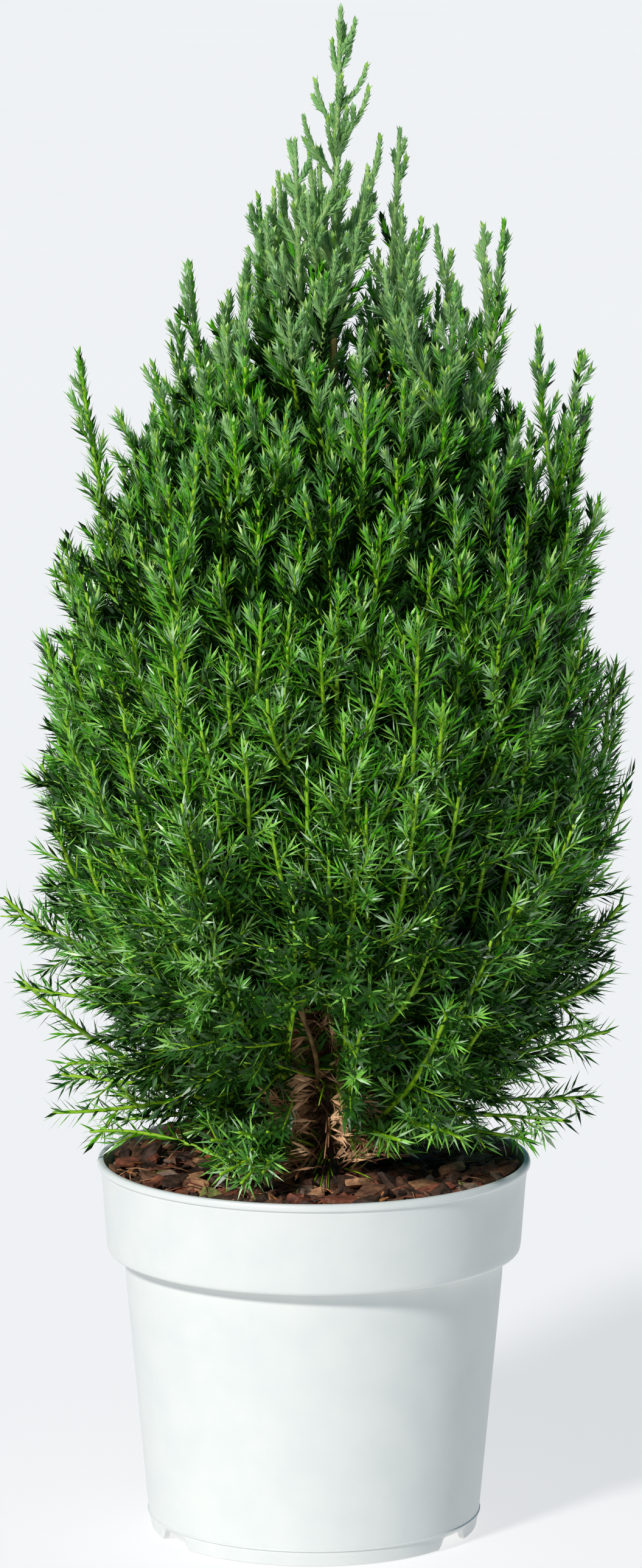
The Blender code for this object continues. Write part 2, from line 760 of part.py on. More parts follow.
def make_boughs(limbs, parts, trunk_cutter):
    """The limbs that carry the two taller tiers, one tapering tube each, cut clear of the trunk."""
    for name, path in limbs.items():
        picks = np.unique(np.linspace(0, len(path) - 1, 5).astype(int))
        radii = np.interp(picks, [0, len(path)], [BOUGH_RADIUS, BOUGH_TIP_RADIUS])
        bough = tube(f"bough_{name}", path[picks], radii, 4, parts, "juniper_bark")
        cut_clear(bough, trunk_cutter)


def main():
    """Builds the whole plant in its pot."""
    clear_scene()
    root = bpy.context.scene.collection
    parts = bpy.data.collections.new("chinese_juniper")
    cutters = bpy.data.collections.new("cutters")
    scratch = bpy.data.collections.new("fused_pieces")
    for group in (parts, cutters, scratch):
        root.children.link(group)
    make_pot(parts, cutters)
    make_root_ball(parts)
    make_mulch(parts, scratch)
    trunk = trunk_tube("trunk", 0.0, parts, "juniper_bark")
    trunk.data.shade_smooth()
    trunk_cutter = trunk_tube("trunk_clearance", GAP, cutters)
    hide_cutter(trunk_cutter)
    masses, limbs = plan_masses()
    make_boughs(limbs, parts, trunk_cutter)
    space = Space(masses, limbs)
    total = sum(make_mass(mass, space, parts, scratch, trunk_cutter) for mass in masses)
    bpy.data.collections.remove(scratch)
    plant = bpy.data.objects.new("potted_juniper", None)
    parts.objects.link(plant)
    for thing in parts.objects:
        if thing is not plant:
            thing.parent = plant
    print(len(masses), "masses,", sum(len(mass.axes) for mass in masses), "leaders,", total, "sprays")


main()
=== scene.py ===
"""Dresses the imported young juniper: nursery pot, loose mulch, barked wood, and shoots clothed in needles.

Everything is in metres in the part's own frame. The pot is turned round the Z axis and stands on z = 0, and
the front of the plant faces -Y. The crown follows the rule that its solids are made by: a trunk, rings of
boughs, and leaders that fork from one stem in each mass. Here the rule runs on to finer leaders, shoots,
twigs and needles.
"""

import logging
import math
import random
from dataclasses import dataclass, field
from enum import Enum

import bpy
import numpy as np
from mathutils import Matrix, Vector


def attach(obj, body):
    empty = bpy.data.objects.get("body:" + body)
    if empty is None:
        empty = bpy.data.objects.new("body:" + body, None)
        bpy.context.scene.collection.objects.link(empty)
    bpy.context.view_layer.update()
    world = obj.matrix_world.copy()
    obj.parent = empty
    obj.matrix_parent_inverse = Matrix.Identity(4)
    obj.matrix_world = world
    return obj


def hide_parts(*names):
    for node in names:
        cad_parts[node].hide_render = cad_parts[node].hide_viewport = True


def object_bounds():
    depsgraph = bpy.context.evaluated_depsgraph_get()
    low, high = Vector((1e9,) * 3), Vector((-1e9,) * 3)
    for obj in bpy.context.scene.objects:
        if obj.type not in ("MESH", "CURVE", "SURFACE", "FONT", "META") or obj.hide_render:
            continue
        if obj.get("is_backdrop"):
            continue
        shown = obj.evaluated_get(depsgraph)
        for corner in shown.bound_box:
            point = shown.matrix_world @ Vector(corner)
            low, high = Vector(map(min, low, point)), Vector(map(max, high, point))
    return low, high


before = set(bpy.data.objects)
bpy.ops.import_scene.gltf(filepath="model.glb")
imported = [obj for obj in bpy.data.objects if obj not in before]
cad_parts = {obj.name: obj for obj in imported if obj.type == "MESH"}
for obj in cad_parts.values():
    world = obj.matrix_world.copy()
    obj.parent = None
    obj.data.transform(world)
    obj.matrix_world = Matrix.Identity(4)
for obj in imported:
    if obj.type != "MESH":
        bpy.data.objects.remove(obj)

LOG = logging.getLogger("juniper")
Array = np.ndarray
Colour = tuple[float, float, float]
Screen = tuple[int, int, int]

# The pot
RIM_RADIUS = 0.0950
POT_HEIGHT = 0.1654
WALL = 0.0016
COLLAR_TOP_RADIUS = 0.0936
COLLAR_FOOT_RADIUS = 0.0907
COLLAR_FOOT_HEIGHT = 0.1245
GAP = 0.0003
SOIL_TOP = 0.1440
MULCH_TOP = 0.1555

# The trunk, which leans a little to the right
TRUNK_FOOT = 0.1570
TRUNK_TOP = 0.5250
TRUNK_FOOT_X = 0.0060
TRUNK_LEAN_X = 0.0057
TRUNK_SWAY = 0.0016
TRUNK_RADIUS = 0.0058
TRUNK_TIP_RADIUS = 0.0016
FLARE_RADIUS = 0.0045
FLARE_RISE = 0.0120
LEADER_TIP_HEIGHT = 0.6690
BOUGH_RADIUS = 0.0032
BOUGH_TIP_RADIUS = 0.0019
AXIS_STEP = 0.0025
GOLDEN_ANGLE = math.radians(137.508)
UP = np.array([0.0, 0.0, 1.0])

# Directions that few stems run along, from which the turns round a stem are counted
STEM_GUIDE = np.array([0.3, 0.2, 0.9])
NEEDLE_GUIDE = np.array([0.31, 0.17, 0.93])

# Factors that lay a direction level, and a little that keeps it from having no length
LEVEL = (1, 1, 0)
HAIR = (1e-6, 0.0, 0.0)

# A whole turn, near enough for a random draw
ABOUT_A_TURN = 6.28


@dataclass(frozen=True)
class Tier:
    """One ring of masses round the trunk."""

    name: str
    count: int
    first_azimuth: float
    root_height: float
    root_step: float
    reach: float
    tip_height: float
    early_reach: float
    early_rise: float
    late_rise: float
    bough_share: float
    side_leaders: int


TIERS = (
    Tier("crown", 5, 18.0, 0.400, 0.020, 0.038, 0.598, 0.80, 0.20, 0.60, 0.0, 1),
    Tier("tall", 8, 5.0, 0.262, 0.006, 0.082, 0.528, 0.74, 0.16, 0.55, 0.20, 2),
    Tier("mid", 9, 1.0, 0.214, 0.003, 0.113, 0.436, 0.70, 0.16, 0.55, 0.26, 2),
    Tier("low", 8, 8.0, 0.184, 0.002, 0.130, 0.326, 0.66, 0.22, 0.58, 0.0, 2),
    Tier("skirt", 7, 2.0, 0.166, 0.001, 0.122, 0.214, 0.45, 0.30, 0.80, 0.0, 2),
)

# Tips of masses, in millimetres: x to the right, y away from the viewer, z up
SEEN_TIPS = {
    "crown_0": (37, 12, 616),
    "crown_2": (-24, 8, 589),
    "crown_3": (-8, -16, 615),
    "crown_4": (46, -22, 581),
    "tall_0": (82, 10, 577),
    "tall_4": (-53, -12, 561),
    "tall_5": (-34, -72, 502),
    "tall_6": (22, -78, 516),
    "tall_7": (60, -48, 556),
    "mid_0": (115, -8, 524),
    "mid_1": (110, 46, 492),
    "mid_4": (-108, 36, 438),
    "mid_5": (-101, -14, 523),
    "mid_6": (-62, -92, 456),
    "mid_7": (10, -112, 440),
    "mid_8": (84, -84, 442),
    "low_0": (137, -12, 334),
    "low_1": (112, 62, 384),
    "low_3": (-104, 64, 392),
    "low_4": (-120, 2, 344),
    "low_5": (-56, -112, 346),
    "low_6": (44, -120, 352),
    "low_7": (112, -72, 330),
    "skirt_0": (127, 8, 222),
    "skirt_3": (-114, 46, 196),
    "skirt_4": (-131, -16, 272),
    "skirt_5": (-31, -72, 177),
    "skirt_6": (66, -86, 190),
}

# Tips of finer leaders that stand out of the crown: x, y, z, and the length of the fork, in millimetres
FORK_TIPS = (
    (-17, -6, 591, 60),
    (53, 10, 573, 70),
    (30, -50, 562, 80),
    (9, -40, 568, 80),
    (-83, -10, 497, 80),
    (-68, -30, 519, 80),
    (-37, -30, 534, 80),
    (73, 20, 575, 60),
    (97, 10, 529, 80),
    (119, 8, 500, 70),
    (123, 6, 457, 80),
    (-94, -20, 423, 80),
    (-116, 10, 396, 80),
    (-135, 0, 285, 80),
    (-128, 20, 244, 70),
    (131, 4, 387, 90),
    (133, -20, 285, 80),
    (128, -30, 258, 70),
    (-11, -80, 507, 80),
    (-49, -75, 491, 70),
    (-4, -92, 473, 80),
    (39, -94, 472, 80),
    (61, -92, 446, 80),
    (78, -92, 412, 80),
    (-10, -108, 425, 80),
    (40, -106, 423, 80),
    (-47, -110, 376, 80),
    (20, -118, 373, 80),
)

# Tips of the open sprays low at both sides, which spread level, in the same way
LOW_SPRAY_TIPS = (
    (-128, -4, 242, 70),
    (-111, 14, 199, 78),
    (-114, -10, 187, 84),
    (-97, -34, 184, 66),
    (-86, 22, 177, 60),
    (129, 2, 221, 74),
    (122, -12, 195, 84),
    (110, -40, 190, 66),
    (92, -34, 181, 60),
)

# Tips of the drooping spray at the left front, in the same way
DROOP_TIPS = (
    (-40, -74, 174, 36),
    (-31, -82, 172, 36),
    (-22, -76, 175, 32),
    (-36, -62, 181, 30),
    (-27, -66, 183, 30),
    (-44, -60, 186, 34),
    (-32, -72, 192, 34),
    (-20, -62, 190, 30),
)

# Tips of the short side shoots of the top leader, in the same way
TOP_SHOOT_TIPS = (
    (17, -3, 661, 14),
    (8, 2, 652, 14),
    (22, 2, 642, 22),
    (23, -6, 633, 30),
    (1, 3, 636, 26),
    (-4, -4, 621, 32),
    (6, -8, 620, 24),
)

# How far the foliage reaches from the pot's axis, against height
CROWN_OUTLINE = (
    (0.160, 0.120),
    (0.225, 0.134),
    (0.330, 0.143),
    (0.450, 0.130),
    (0.530, 0.118),
    (0.590, 0.082),
    (0.625, 0.042),
    (0.680, 0.018),
)

# The crown's dense surface: height, and how far it stands from the pot's axis on the left and on the right
CROWN_SURFACE = (
    (0.200, 0.090, 0.082),
    (0.225, 0.080, 0.102),
    (0.250, 0.086, 0.114),
    (0.285, 0.112, 0.122),
    (0.340, 0.117, 0.125),
    (0.390, 0.117, 0.128),
    (0.425, 0.110, 0.124),
    (0.455, 0.096, 0.114),
    (0.485, 0.078, 0.098),
    (0.510, 0.060, 0.084),
    (0.540, 0.042, 0.070),
    (0.565, 0.029, 0.049),
    (0.590, 0.018, 0.037),
    (0.612, 0.008, 0.028),
)
REACH_LEFT = -0.1400
REACH_RIGHT = 0.1395


def unit(vectors: Array) -> Array:
    """The vectors at length one."""
    return vectors / np.maximum(np.linalg.norm(vectors, axis=-1, keepdims=True), 1e-12)


def square_to(ahead: Array, guide: Array = STEM_GUIDE) -> tuple[Array, Array]:
    """Two directions square to the given ones and to each other, the first square to the guide as well."""
    level = unit(np.cross(ahead, guide))
    return level, np.cross(ahead, level)


def leaning(ahead: Array, aside: Array, angle: Array) -> Array:
    """Directions that lean from ahead towards aside by an angle a: cos(a) ahead + sin(a) aside."""
    return np.cos(angle)[:, None] * ahead + np.sin(angle)[:, None] * aside


def dealt(counts: Array) -> tuple[Array, Array]:
    """Numbers for items in a row, some on each owner.

    Args:
        counts: How many items each owner has.

    Returns:
        The owner's number for each item, and the item's own number on its owner.
    """
    which = np.repeat(np.arange(len(counts)), counts)
    return which, np.arange(len(which)) - np.repeat(np.cumsum(counts) - counts, counts)


def run_along(points: Array) -> Array:
    """How far each point of a polyline is from its start, along the line."""
    return np.concatenate([[0.0], np.cumsum(np.linalg.norm(np.diff(points, axis=0), axis=1))])


def paint(red: int, green: int, blue: int) -> Colour:
    """A colour as a screen shows it, turned into linear values.

    Args:
        red: The red light, from 0 to 255.
        green: The green light.
        blue: The blue light.

    Returns:
        The linear values, from 0 to 1.
    """
    return tuple(
        (v / 255 / 12.92) if v < 11 else ((v / 255 + 0.055) / 1.055) ** 2.4 for v in (red, green, blue)
    )


def new_piece(
    name: str,
    points: Array,
    faces: list[Array],
    materials: list[bpy.types.Material],
    slots: Array | None = None,
    smooth: bool = True,
) -> bpy.types.Object:
    """Puts whole arrays of points and faces into a mesh, on an object at the origin.

    Args:
        name: The piece's name.
        points: Corner places, with 3 columns.
        faces: Arrays of corner numbers, one array for each count of corners in a face.
        materials: The finishes, in the order of the slots.
        slots: The slot of each face, in the order of the faces, or None for the first one.
        smooth: Whether faces shade smoothly.

    Returns:
        The new object.
    """
    mesh = bpy.data.meshes.new(name)
    corners = np.concatenate([group.ravel() for group in faces]).astype(np.int32)
    sizes = np.concatenate([np.full(len(group), group.shape[1]) for group in faces])
    mesh.vertices.add(len(points))
    mesh.vertices.foreach_set("co", points.astype(np.float32).ravel())
    mesh.loops.add(len(corners))
    mesh.loops.foreach_set("vertex_index", corners)
    mesh.polygons.add(len(sizes))
    mesh.polygons.foreach_set("loop_start", (np.cumsum(sizes) - sizes).astype(np.int32))
    for material in materials:
        mesh.materials.append(material)
    if slots is not None:
        mesh.polygons.foreach_set("material_index", slots.astype(np.int32))
    mesh.polygons.foreach_set("use_smooth", np.full(len(sizes), smooth))
    mesh.update(calc_edges=True)
    piece = bpy.data.objects.new(name, mesh)
    bpy.context.scene.collection.objects.link(piece)
    return piece


def dress(piece: bpy.types.Object, nodes: list[str]) -> None:
    """Lets a piece ride with the plant and hides the solids that it stands for.

    Args:
        piece: The finished piece.
        nodes: The solids that it replaces, which may be none.
    """
    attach(piece, "root")
    if nodes:
        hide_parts(*nodes)
    LOG.info("%s: %d faces", piece.name, len(piece.data.polygons))


def tube_points(paths: Array, radii: Array, sides: int) -> Array:
    """Rings round many paths at once.

    Formula: point = path + radius * (cos(a) * across + sin(a) * other), with across and other square to the
    path and a = 2 pi j / sides for the ring's corner j.

    Args:
        paths: The centre lines, n by k by 3.
        radii: The radius at each point, n by k, or n by k by sides where it changes round the ring.
        sides: Corners in a ring.

    Returns:
        The points, n by k by sides by 3.
    """
    ahead = unit(np.gradient(paths, axis=1))
    chord = unit(paths[:, -1] - paths[:, 0])
    guide = np.cross(chord, np.eye(3)[np.argmin(np.abs(chord), axis=1)])[:, None]
    across = unit(guide - (guide * ahead).sum(axis=-1, keepdims=True) * ahead)
    other = np.cross(ahead, across)
    turn = 2 * math.pi * np.arange(sides)[:, None] / sides
    ring = np.cos(turn) * across[:, :, None] + np.sin(turn) * other[:, :, None]
    thick = radii[..., None] if radii.ndim == 2 else radii
    return paths[:, :, None] + thick[..., None] * ring


def tube_faces(count: int, rings: int, sides: int) -> list[Array]:
    """The faces of that many tubes: quads between rings, and one face over each end.

    Args:
        count: How many tubes.
        rings: Rings in a tube.
        sides: Corners in a ring.

    Returns:
        The quads, and then the end faces.
    """
    corner = np.arange(count * rings * sides).reshape(count, rings, sides)
    beside = np.roll(corner, -1, axis=2)
    quads = np.stack([corner[:, :-1], beside[:, :-1], beside[:, 1:], corner[:, 1:]], axis=-1).reshape(-1, 4)
    ends = np.concatenate([corner[:, 0, ::-1], corner[:, -1]])
    return [quads, ends]


def tube_slots(kind: Array, rings: int, sides: int) -> Array:
    """The slots of many tubes' faces, in the faces' order, from the slot of each tube."""
    return np.concatenate([np.repeat(kind, (rings - 1) * sides), np.tile(kind, 2)])


def turned_surface(profile: Array, columns: int) -> tuple[Array, list[Array]]:
    """A closed form turned round Z.

    Formula: point(i, j) = (r_i cos(a), r_i sin(a), z_i) with a = 2 pi j / columns, and one point on the axis
    under the first ring and one over the last.

    Args:
        profile: Radius and height of each ring, from the underside round the outside to the inside.
        columns: Corners in a ring.

    Returns:
        The points, ring after ring and with the two on the axis last, and the faces.
    """
    turn = 2 * math.pi * np.arange(columns) / columns
    radius = profile[:, 0, None]
    height = np.broadcast_to(profile[:, 1, None], (len(profile), columns))
    rings = np.stack([radius * np.cos(turn), radius * np.sin(turn), height], axis=-1)
    axis = np.array([[0.0, 0.0, profile[0, 1]], [0.0, 0.0, profile[-1, 1]]])
    corner = np.arange(len(profile) * columns).reshape(len(profile), columns)
    beside = np.roll(corner, -1, axis=1)
    quads = np.stack([corner[:-1], beside[:-1], beside[1:], corner[1:]], axis=-1).reshape(-1, 4)
    under = np.full(columns, corner.size)
    foot = np.stack([under, beside[0], corner[0]], axis=-1)
    head = np.stack([under + 1, corner[-1], beside[-1]], axis=-1)
    return np.vstack([rings.reshape(-1, 3), axis]), [quads, np.vstack([foot, head])]


def rounded_profile(corners: list[tuple[float, float, float]]) -> Array:
    """A profile whose corners are rounded.

    Formula: at each corner of rounding q, five points of the curve (1-t)^2 a + 2 t (1-t) c + t^2 b, where a
    and b lie q before and behind the corner c on its two sides, but at most 0.45 of the way to the next one.

    Args:
        corners: Radius, height and rounding of each corner.

    Returns:
        Radius and height of each point.
    """
    places = np.array(corners)[:, :2]
    points = [places[0]]
    for before, (radius, height, rounding), behind in zip(places, corners[1:-1], places[2:]):
        corner = np.array([radius, height])
        if rounding == 0:
            points.append(corner)
            continue
        first, last = (
            corner + unit(other - corner) * min(rounding, 0.45 * np.linalg.norm(other - corner))
            for other in (before, behind)
        )
        t = np.linspace(0.0, 1.0, 5)[:, None]
        points.extend((1 - t) ** 2 * first + 2 * t * (1 - t) * corner + t**2 * last)
    points.append(places[-1])
    return np.array(points)


def relief(across: Array, along: Array, seed: int, octaves: int = 3) -> Array:
    """Smooth random heights between about -1 and 1.

    Formula: the sum over octaves o of 2^-o times a third of the sum of six waves sin(2 pi 2^o (u cos h +
    v sin h) + c), with each heading h and phase c drawn from the seed.

    Args:
        across: First coordinate, one wave long for each unit.
        along: Second coordinate.
        seed: Which pattern.
        octaves: How many finer layers.

    Returns:
        Heights, in the shape of the coordinates.
    """
    rng = np.random.default_rng(seed)
    total = np.zeros(np.broadcast(across, along).shape)
    for octave in range(octaves):
        for heading, phase in zip(rng.uniform(0, 2 * math.pi, 6), rng.uniform(0, 2 * math.pi, 6)):
            wave = 2 * math.pi * 2**octave * (math.cos(heading) * across + math.sin(heading) * along)
            total = total + np.sin(wave + phase) / 3 / 2**octave
    return total


def add_node(
    tree: bpy.types.NodeTree, kind: str, settings: dict[str, object], feeds: dict[str, bpy.types.NodeSocket]
) -> bpy.types.Node:
    """Adds a node to a material.

    Args:
        tree: The material's nodes.
        kind: Which node, by the end of its type's name.
        settings: Values of its inputs.
        feeds: The outputs that feed its other inputs.

    Returns:
        The node.
    """
    made = tree.nodes.new(f"ShaderNode{kind}")
    for name, value in settings.items():
        made.inputs[name].default_value = value
    for name, source in feeds.items():
        tree.links.new(source, made.inputs[name])
    return made


@dataclass(frozen=True)
class Finish:
    """A surface of two near colours that a fine pattern blends, with a varying gloss and a little relief."""

    name: str
    dark: Colour
    light: Colour
    roughness: float
    spread: float = 0.08
    grain: float = 120.0
    stretch: tuple[float, float, float] = (1.0, 1.0, 1.0)
    relief_grain: float = 400.0
    relief_height: float = 0.0
    low_edge: float = 0.35
    high_edge: float = 0.65
    specular: float = 0.5

    def material(self) -> bpy.types.Material:
        """The finish as a node material, made on first use.

        Returns:
            The material.
        """
        found = bpy.data.materials.get(self.name)
        if found:
            return found
        made = bpy.data.materials.new(self.name)
        made.use_nodes = True
        tree = made.node_tree
        shader = tree.nodes["Principled BSDF"]
        shader.inputs["Specular IOR Level"].default_value = self.specular
        place = add_node(tree, "TexCoord", {}, {}).outputs["Object"]
        place = add_node(tree, "Mapping", {"Scale": self.stretch}, {"Vector": place}).outputs["Vector"]
        grain = {"Scale": self.grain, "Detail": 3.0}
        pattern = add_node(tree, "TexNoise", grain, {"Vector": place}).outputs["Fac"]
        ramp = add_node(tree, "ValToRGB", {}, {"Fac": pattern})
        edges = ((self.low_edge, self.dark), (self.high_edge, self.light))
        for stop, (position, colour) in zip(ramp.color_ramp.elements, edges):
            stop.position = position
            stop.color = (*colour, 1.0)
        span = {"To Min": self.roughness - self.spread, "To Max": self.roughness + self.spread}
        gloss = add_node(tree, "MapRange", span, {"Value": pattern})
        tree.links.new(ramp.outputs["Color"], shader.inputs["Base Color"])
        tree.links.new(gloss.outputs["Result"], shader.inputs["Roughness"])
        if self.relief_height:
            grain = {"Scale": self.relief_grain, "Detail": 4.0}
            fine = add_node(tree, "TexNoise", grain, {"Vector": place}).outputs["Fac"]
            bump = add_node(tree, "Bump", {"Distance": self.relief_height}, {"Height": fine})
            tree.links.new(bump.outputs["Normal"], shader.inputs["Normal"])
        return made


def bark_chip(name: str, dark: Screen, light: Screen, roughness: float, grain: float = 300.0) -> Finish:
    """The finish of one kind of bark chip, from its two screen colours."""
    return Finish(name, paint(*dark), paint(*light), roughness, 0.1, grain, (1, 1, 1), 700.0, 0.0005)


POT_PLASTIC = Finish(
    "moulded_white_plastic", paint(226, 229, 226), paint(231, 233, 229), 0.36, 0.04, 60.0,
    relief_grain=900.0, relief_height=0.00003,
)
SOIL = Finish(
    "moist_potting_soil", paint(26, 18, 12), paint(62, 44, 30), 0.9, 0.05, 260.0, relief_height=0.0008,
)
MULCH_DUST = Finish(
    "mulch_dust", paint(30, 18, 12), paint(84, 56, 38), 0.88, 0.05, 420.0, relief_height=0.0008,
)
CHIP_FINISHES = (
    bark_chip("chip_dark", (44, 28, 20), (86, 60, 44), 0.72),
    bark_chip("chip_brown", (78, 50, 34), (130, 88, 62), 0.76),
    bark_chip("chip_red", (90, 46, 30), (150, 84, 58), 0.74, 260.0),
    bark_chip("chip_grey", (106, 84, 70), (158, 130, 110), 0.82),
    bark_chip("chip_tan", (146, 98, 66), (204, 152, 108), 0.8, 320.0),
    bark_chip("chip_orange", (186, 104, 48), (222, 154, 90), 0.78, 240.0),
    bark_chip("chip_green", (86, 92, 40), (146, 148, 74), 0.8, 240.0),
)
CHIP_SHARES = (0.30, 0.27, 0.22, 0.11, 0.075, 0.015, 0.01)
# Reddish stringy bark, lightened with painted light for the trunk's and boughs' place in the crown's shade.
BARK_PAINTED_LIGHT = Finish(
    "juniper_bark", paint(136, 94, 66), paint(218, 168, 128), 0.82, 0.08, 260.0, (1.0, 1.0, 0.14),
    relief_grain=520.0, relief_height=0.0007,
)
YOUNG_BARK = Finish(
    "young_bark", paint(112, 96, 44), paint(156, 146, 70), 0.7, 0.08, 240.0, (1.0, 1.0, 0.2),
    relief_grain=520.0, relief_height=0.0004,
)
GREEN_STEM = Finish("young_stem", paint(122, 178, 8), paint(164, 210, 38), 0.42, 0.08, 180.0, (1.0, 1.0, 0.3))
PALE_STEM = Finish("pale_stem", paint(136, 176, 84), paint(178, 204, 128), 0.5, 0.08, 260.0, (1.0, 1.0, 0.4))
BROWN_STEM = Finish("woody_stem", paint(84, 62, 34), paint(132, 104, 60), 0.75, 0.08, 260.0, (1.0, 1.0, 0.3))
# Withered stems, lightened with painted light for their place in the crown's shade.
WITHERED_STEM_PAINTED_LIGHT = Finish("withered_stem", paint(166, 116, 80), paint(210, 162, 122), 0.85, 0.05, 260.0)
FLOOR_PAINT = Finish("studio_floor", paint(148, 148, 149), paint(152, 152, 153), 0.9, 0.02, 1.5)


class Tone(Enum):
    """The colour that a spray of needles has, by its place and age; some tones carry painted shade or light.
    """

    BLOOM = 0
    SILVER = 1
    FRESH = 2
    # Near-black needles deep in the crown and scattered dark ones: painted shade.
    SHADE = 3
    OLIVE = 4
    # Dry straw, lightened with painted light for the shade round the trunk's foot.
    WITHERED = 5
    # Pale waxy needles, partly a painted highlight.
    GLINT = 6
    TIP = 7
    DEEP = 8


@dataclass(frozen=True)
class NeedleFinish:
    """A needle's two sides, each of two screen colours: its keeled back, and its paler waxy inner side."""

    tone: Tone
    back_dark: Screen
    back_light: Screen
    inner_dark: Screen
    inner_light: Screen
    gloss: float
    inner_dullness: float = 0.06
    spread: float = 0.07
    grain: float = 75.0

    def materials(self) -> list[bpy.types.Material]:
        """The needle's two materials.

        Returns:
            The back's and the inner side's.
        """
        name = f"needle_{self.tone.name.lower()}"
        back = (paint(*self.back_dark), paint(*self.back_light), self.gloss)
        inner = (paint(*self.inner_dark), paint(*self.inner_light), self.gloss + self.inner_dullness)
        return [
            Finish(f"{name}_back", *back, self.spread, self.grain).material(),
            Finish(f"{name}_face", *inner, self.spread, self.grain).material(),
        ]


NEEDLE_FINISHES = (
    NeedleFinish(Tone.BLOOM, (122, 176, 100), (156, 202, 122), (152, 194, 140), (186, 216, 170), 0.46),
    NeedleFinish(Tone.SILVER, (70, 142, 52), (112, 180, 80), (112, 174, 100), (152, 202, 134), 0.42),
    NeedleFinish(Tone.FRESH, (58, 148, 0), (100, 190, 18), (108, 186, 46), (164, 220, 106), 0.26),
    NeedleFinish(Tone.DEEP, (26, 100, 0), (56, 138, 8), (70, 146, 34), (122, 184, 84), 0.24),
    # Painted shade: near-black green for needles deep inside the crown.
    NeedleFinish(Tone.SHADE, (6, 36, 0), (20, 62, 2), (22, 66, 8), (52, 104, 28), 0.32),
    NeedleFinish(Tone.OLIVE, (112, 116, 30), (156, 152, 58), (134, 136, 64), (170, 166, 92), 0.55),
    # Straw of withered needles, lightened with painted light for their place in shade.
    NeedleFinish(Tone.WITHERED, (206, 140, 92), (234, 178, 128), (214, 158, 112), (238, 194, 150), 0.75),
    # Pale waxy needles whose paleness is partly a painted highlight.
    NeedleFinish(Tone.GLINT, (96, 164, 58), (134, 194, 92), (166, 212, 148), (206, 234, 192), 0.30),
    NeedleFinish(Tone.TIP, (140, 194, 66), (172, 214, 96), (166, 208, 108), (196, 226, 142), 0.40),
)


@dataclass
class NurseryPot:
    """The moulded pot: a tapered body, a deep collar with a lip, and a skirt with three notches."""

    body_top_radius: float = 0.0832
    seam_radius: float = 0.0729
    seam_height: float = 0.0072
    floor_top: float = 0.0095
    skirt_radius: float = 0.0716
    skirt_width: float = 0.0026
    lip_height: float = 0.0030
    notch_azimuths: tuple[float, ...] = (-148.5, -31.5, 90.0)
    notch_width: float = 0.0186
    notch_side: float = 0.0036
    notch_height: float = 0.0050
    notch_clearance: float = 0.0008
    columns: int = 320

    def profile(self) -> Array:
        """The pot's section.

        Returns:
            Radius and height of its points, from the middle of the underside round the outside to the
            middle of the floor.
        """
        inner_step = COLLAR_FOOT_HEIGHT + WALL
        seam = self.seam_height
        skirt_inside = self.skirt_radius - self.skirt_width
        skirt_levels = [seam * share for share in (0.80, 0.60, 0.40, 0.20)]
        corners = [(0.004, seam, 0.0), (skirt_inside, seam, 0.0006)]
        corners += [(skirt_inside, level, 0.0) for level in skirt_levels]
        corners += [(skirt_inside, 0.0, 0.0004), (self.skirt_radius, 0.0, 0.0006)]
        lean = (self.seam_radius - self.skirt_radius) / seam
        corners += [(self.skirt_radius + lean * level, level, 0.0) for level in reversed(skirt_levels)]
        corners += [
            (self.seam_radius - 0.0002, seam - 0.0004, 0.0001),
            (self.seam_radius + 0.0005, seam - 0.0002, 0.0002),
            (self.seam_radius + 0.0005, seam + 0.0005, 0.0002),
            (self.seam_radius + 0.0001, seam + 0.0007, 0.0001),
            (self.body_top_radius - 0.0006, COLLAR_FOOT_HEIGHT - 0.012, 0.0),
            (self.body_top_radius, COLLAR_FOOT_HEIGHT, 0.0008),
            (COLLAR_FOOT_RADIUS - 0.0004, COLLAR_FOOT_HEIGHT, 0.0020),
            (COLLAR_FOOT_RADIUS + 0.0002, COLLAR_FOOT_HEIGHT + 0.0040, 0.0016),
            (COLLAR_TOP_RADIUS - 0.0008, POT_HEIGHT - 0.010, 0.0040),
            (COLLAR_TOP_RADIUS + 0.0001, POT_HEIGHT - self.lip_height - 0.0004, 0.0003),
            (RIM_RADIUS - 0.0003, POT_HEIGHT - self.lip_height, 0.0003),
            (RIM_RADIUS, POT_HEIGHT - 0.0016, 0.0008),
            (RIM_RADIUS - 0.0008, POT_HEIGHT, 0.0008),
            (COLLAR_TOP_RADIUS - WALL, POT_HEIGHT, 0.0007),
            (COLLAR_FOOT_RADIUS - WALL, inner_step, 0.0010),
            (self.body_top_radius - WALL, inner_step, 0.0008),
            (self.seam_radius - WALL - 0.0020, self.floor_top, 0.0010),
            (0.004, self.floor_top, 0.0),
        ]
        return rounded_profile(corners)

    def notch_share(self, azimuth: Array) -> Array:
        """How much of a notch's height the skirt's edge rises by.

        Formula: 1 in the notch and 0 away from it. Over the width of each side it is 3 t^2 - 2 t^3, which
        gives the side its S-curve, with the notch's edge halfway.

        Args:
            azimuth: Directions round the pot, in radians.

        Returns:
            Shares from 0 to 1.
        """
        share = np.zeros_like(azimuth)
        for middle in np.radians(self.notch_azimuths):
            off = np.abs((azimuth - middle + math.pi) % (2 * math.pi) - math.pi) * self.skirt_radius
            t = np.clip((self.notch_width / 2 + self.notch_side / 2 - off) / self.notch_side, 0.0, 1.0)
            share = np.maximum(share, 3 * t**2 - 2 * t**3)
        return share

    def build(self) -> None:
        """Makes the pot. In a notch, heights below the seam are pressed towards it."""
        profile = self.profile()
        points, faces = turned_surface(profile, self.columns)
        height = points[:, 2]
        lift = self.notch_height * self.notch_share(np.arctan2(points[:, 1], points[:, 0]))
        ceiling = self.seam_height - self.notch_clearance
        below = height < ceiling
        points[below, 2] = lift[below] + height[below] * (1 - lift[below] / ceiling)
        piece = new_piece("nursery_pot", points, faces, [POT_PLASTIC.material()])
        dress(piece, ["pot"])


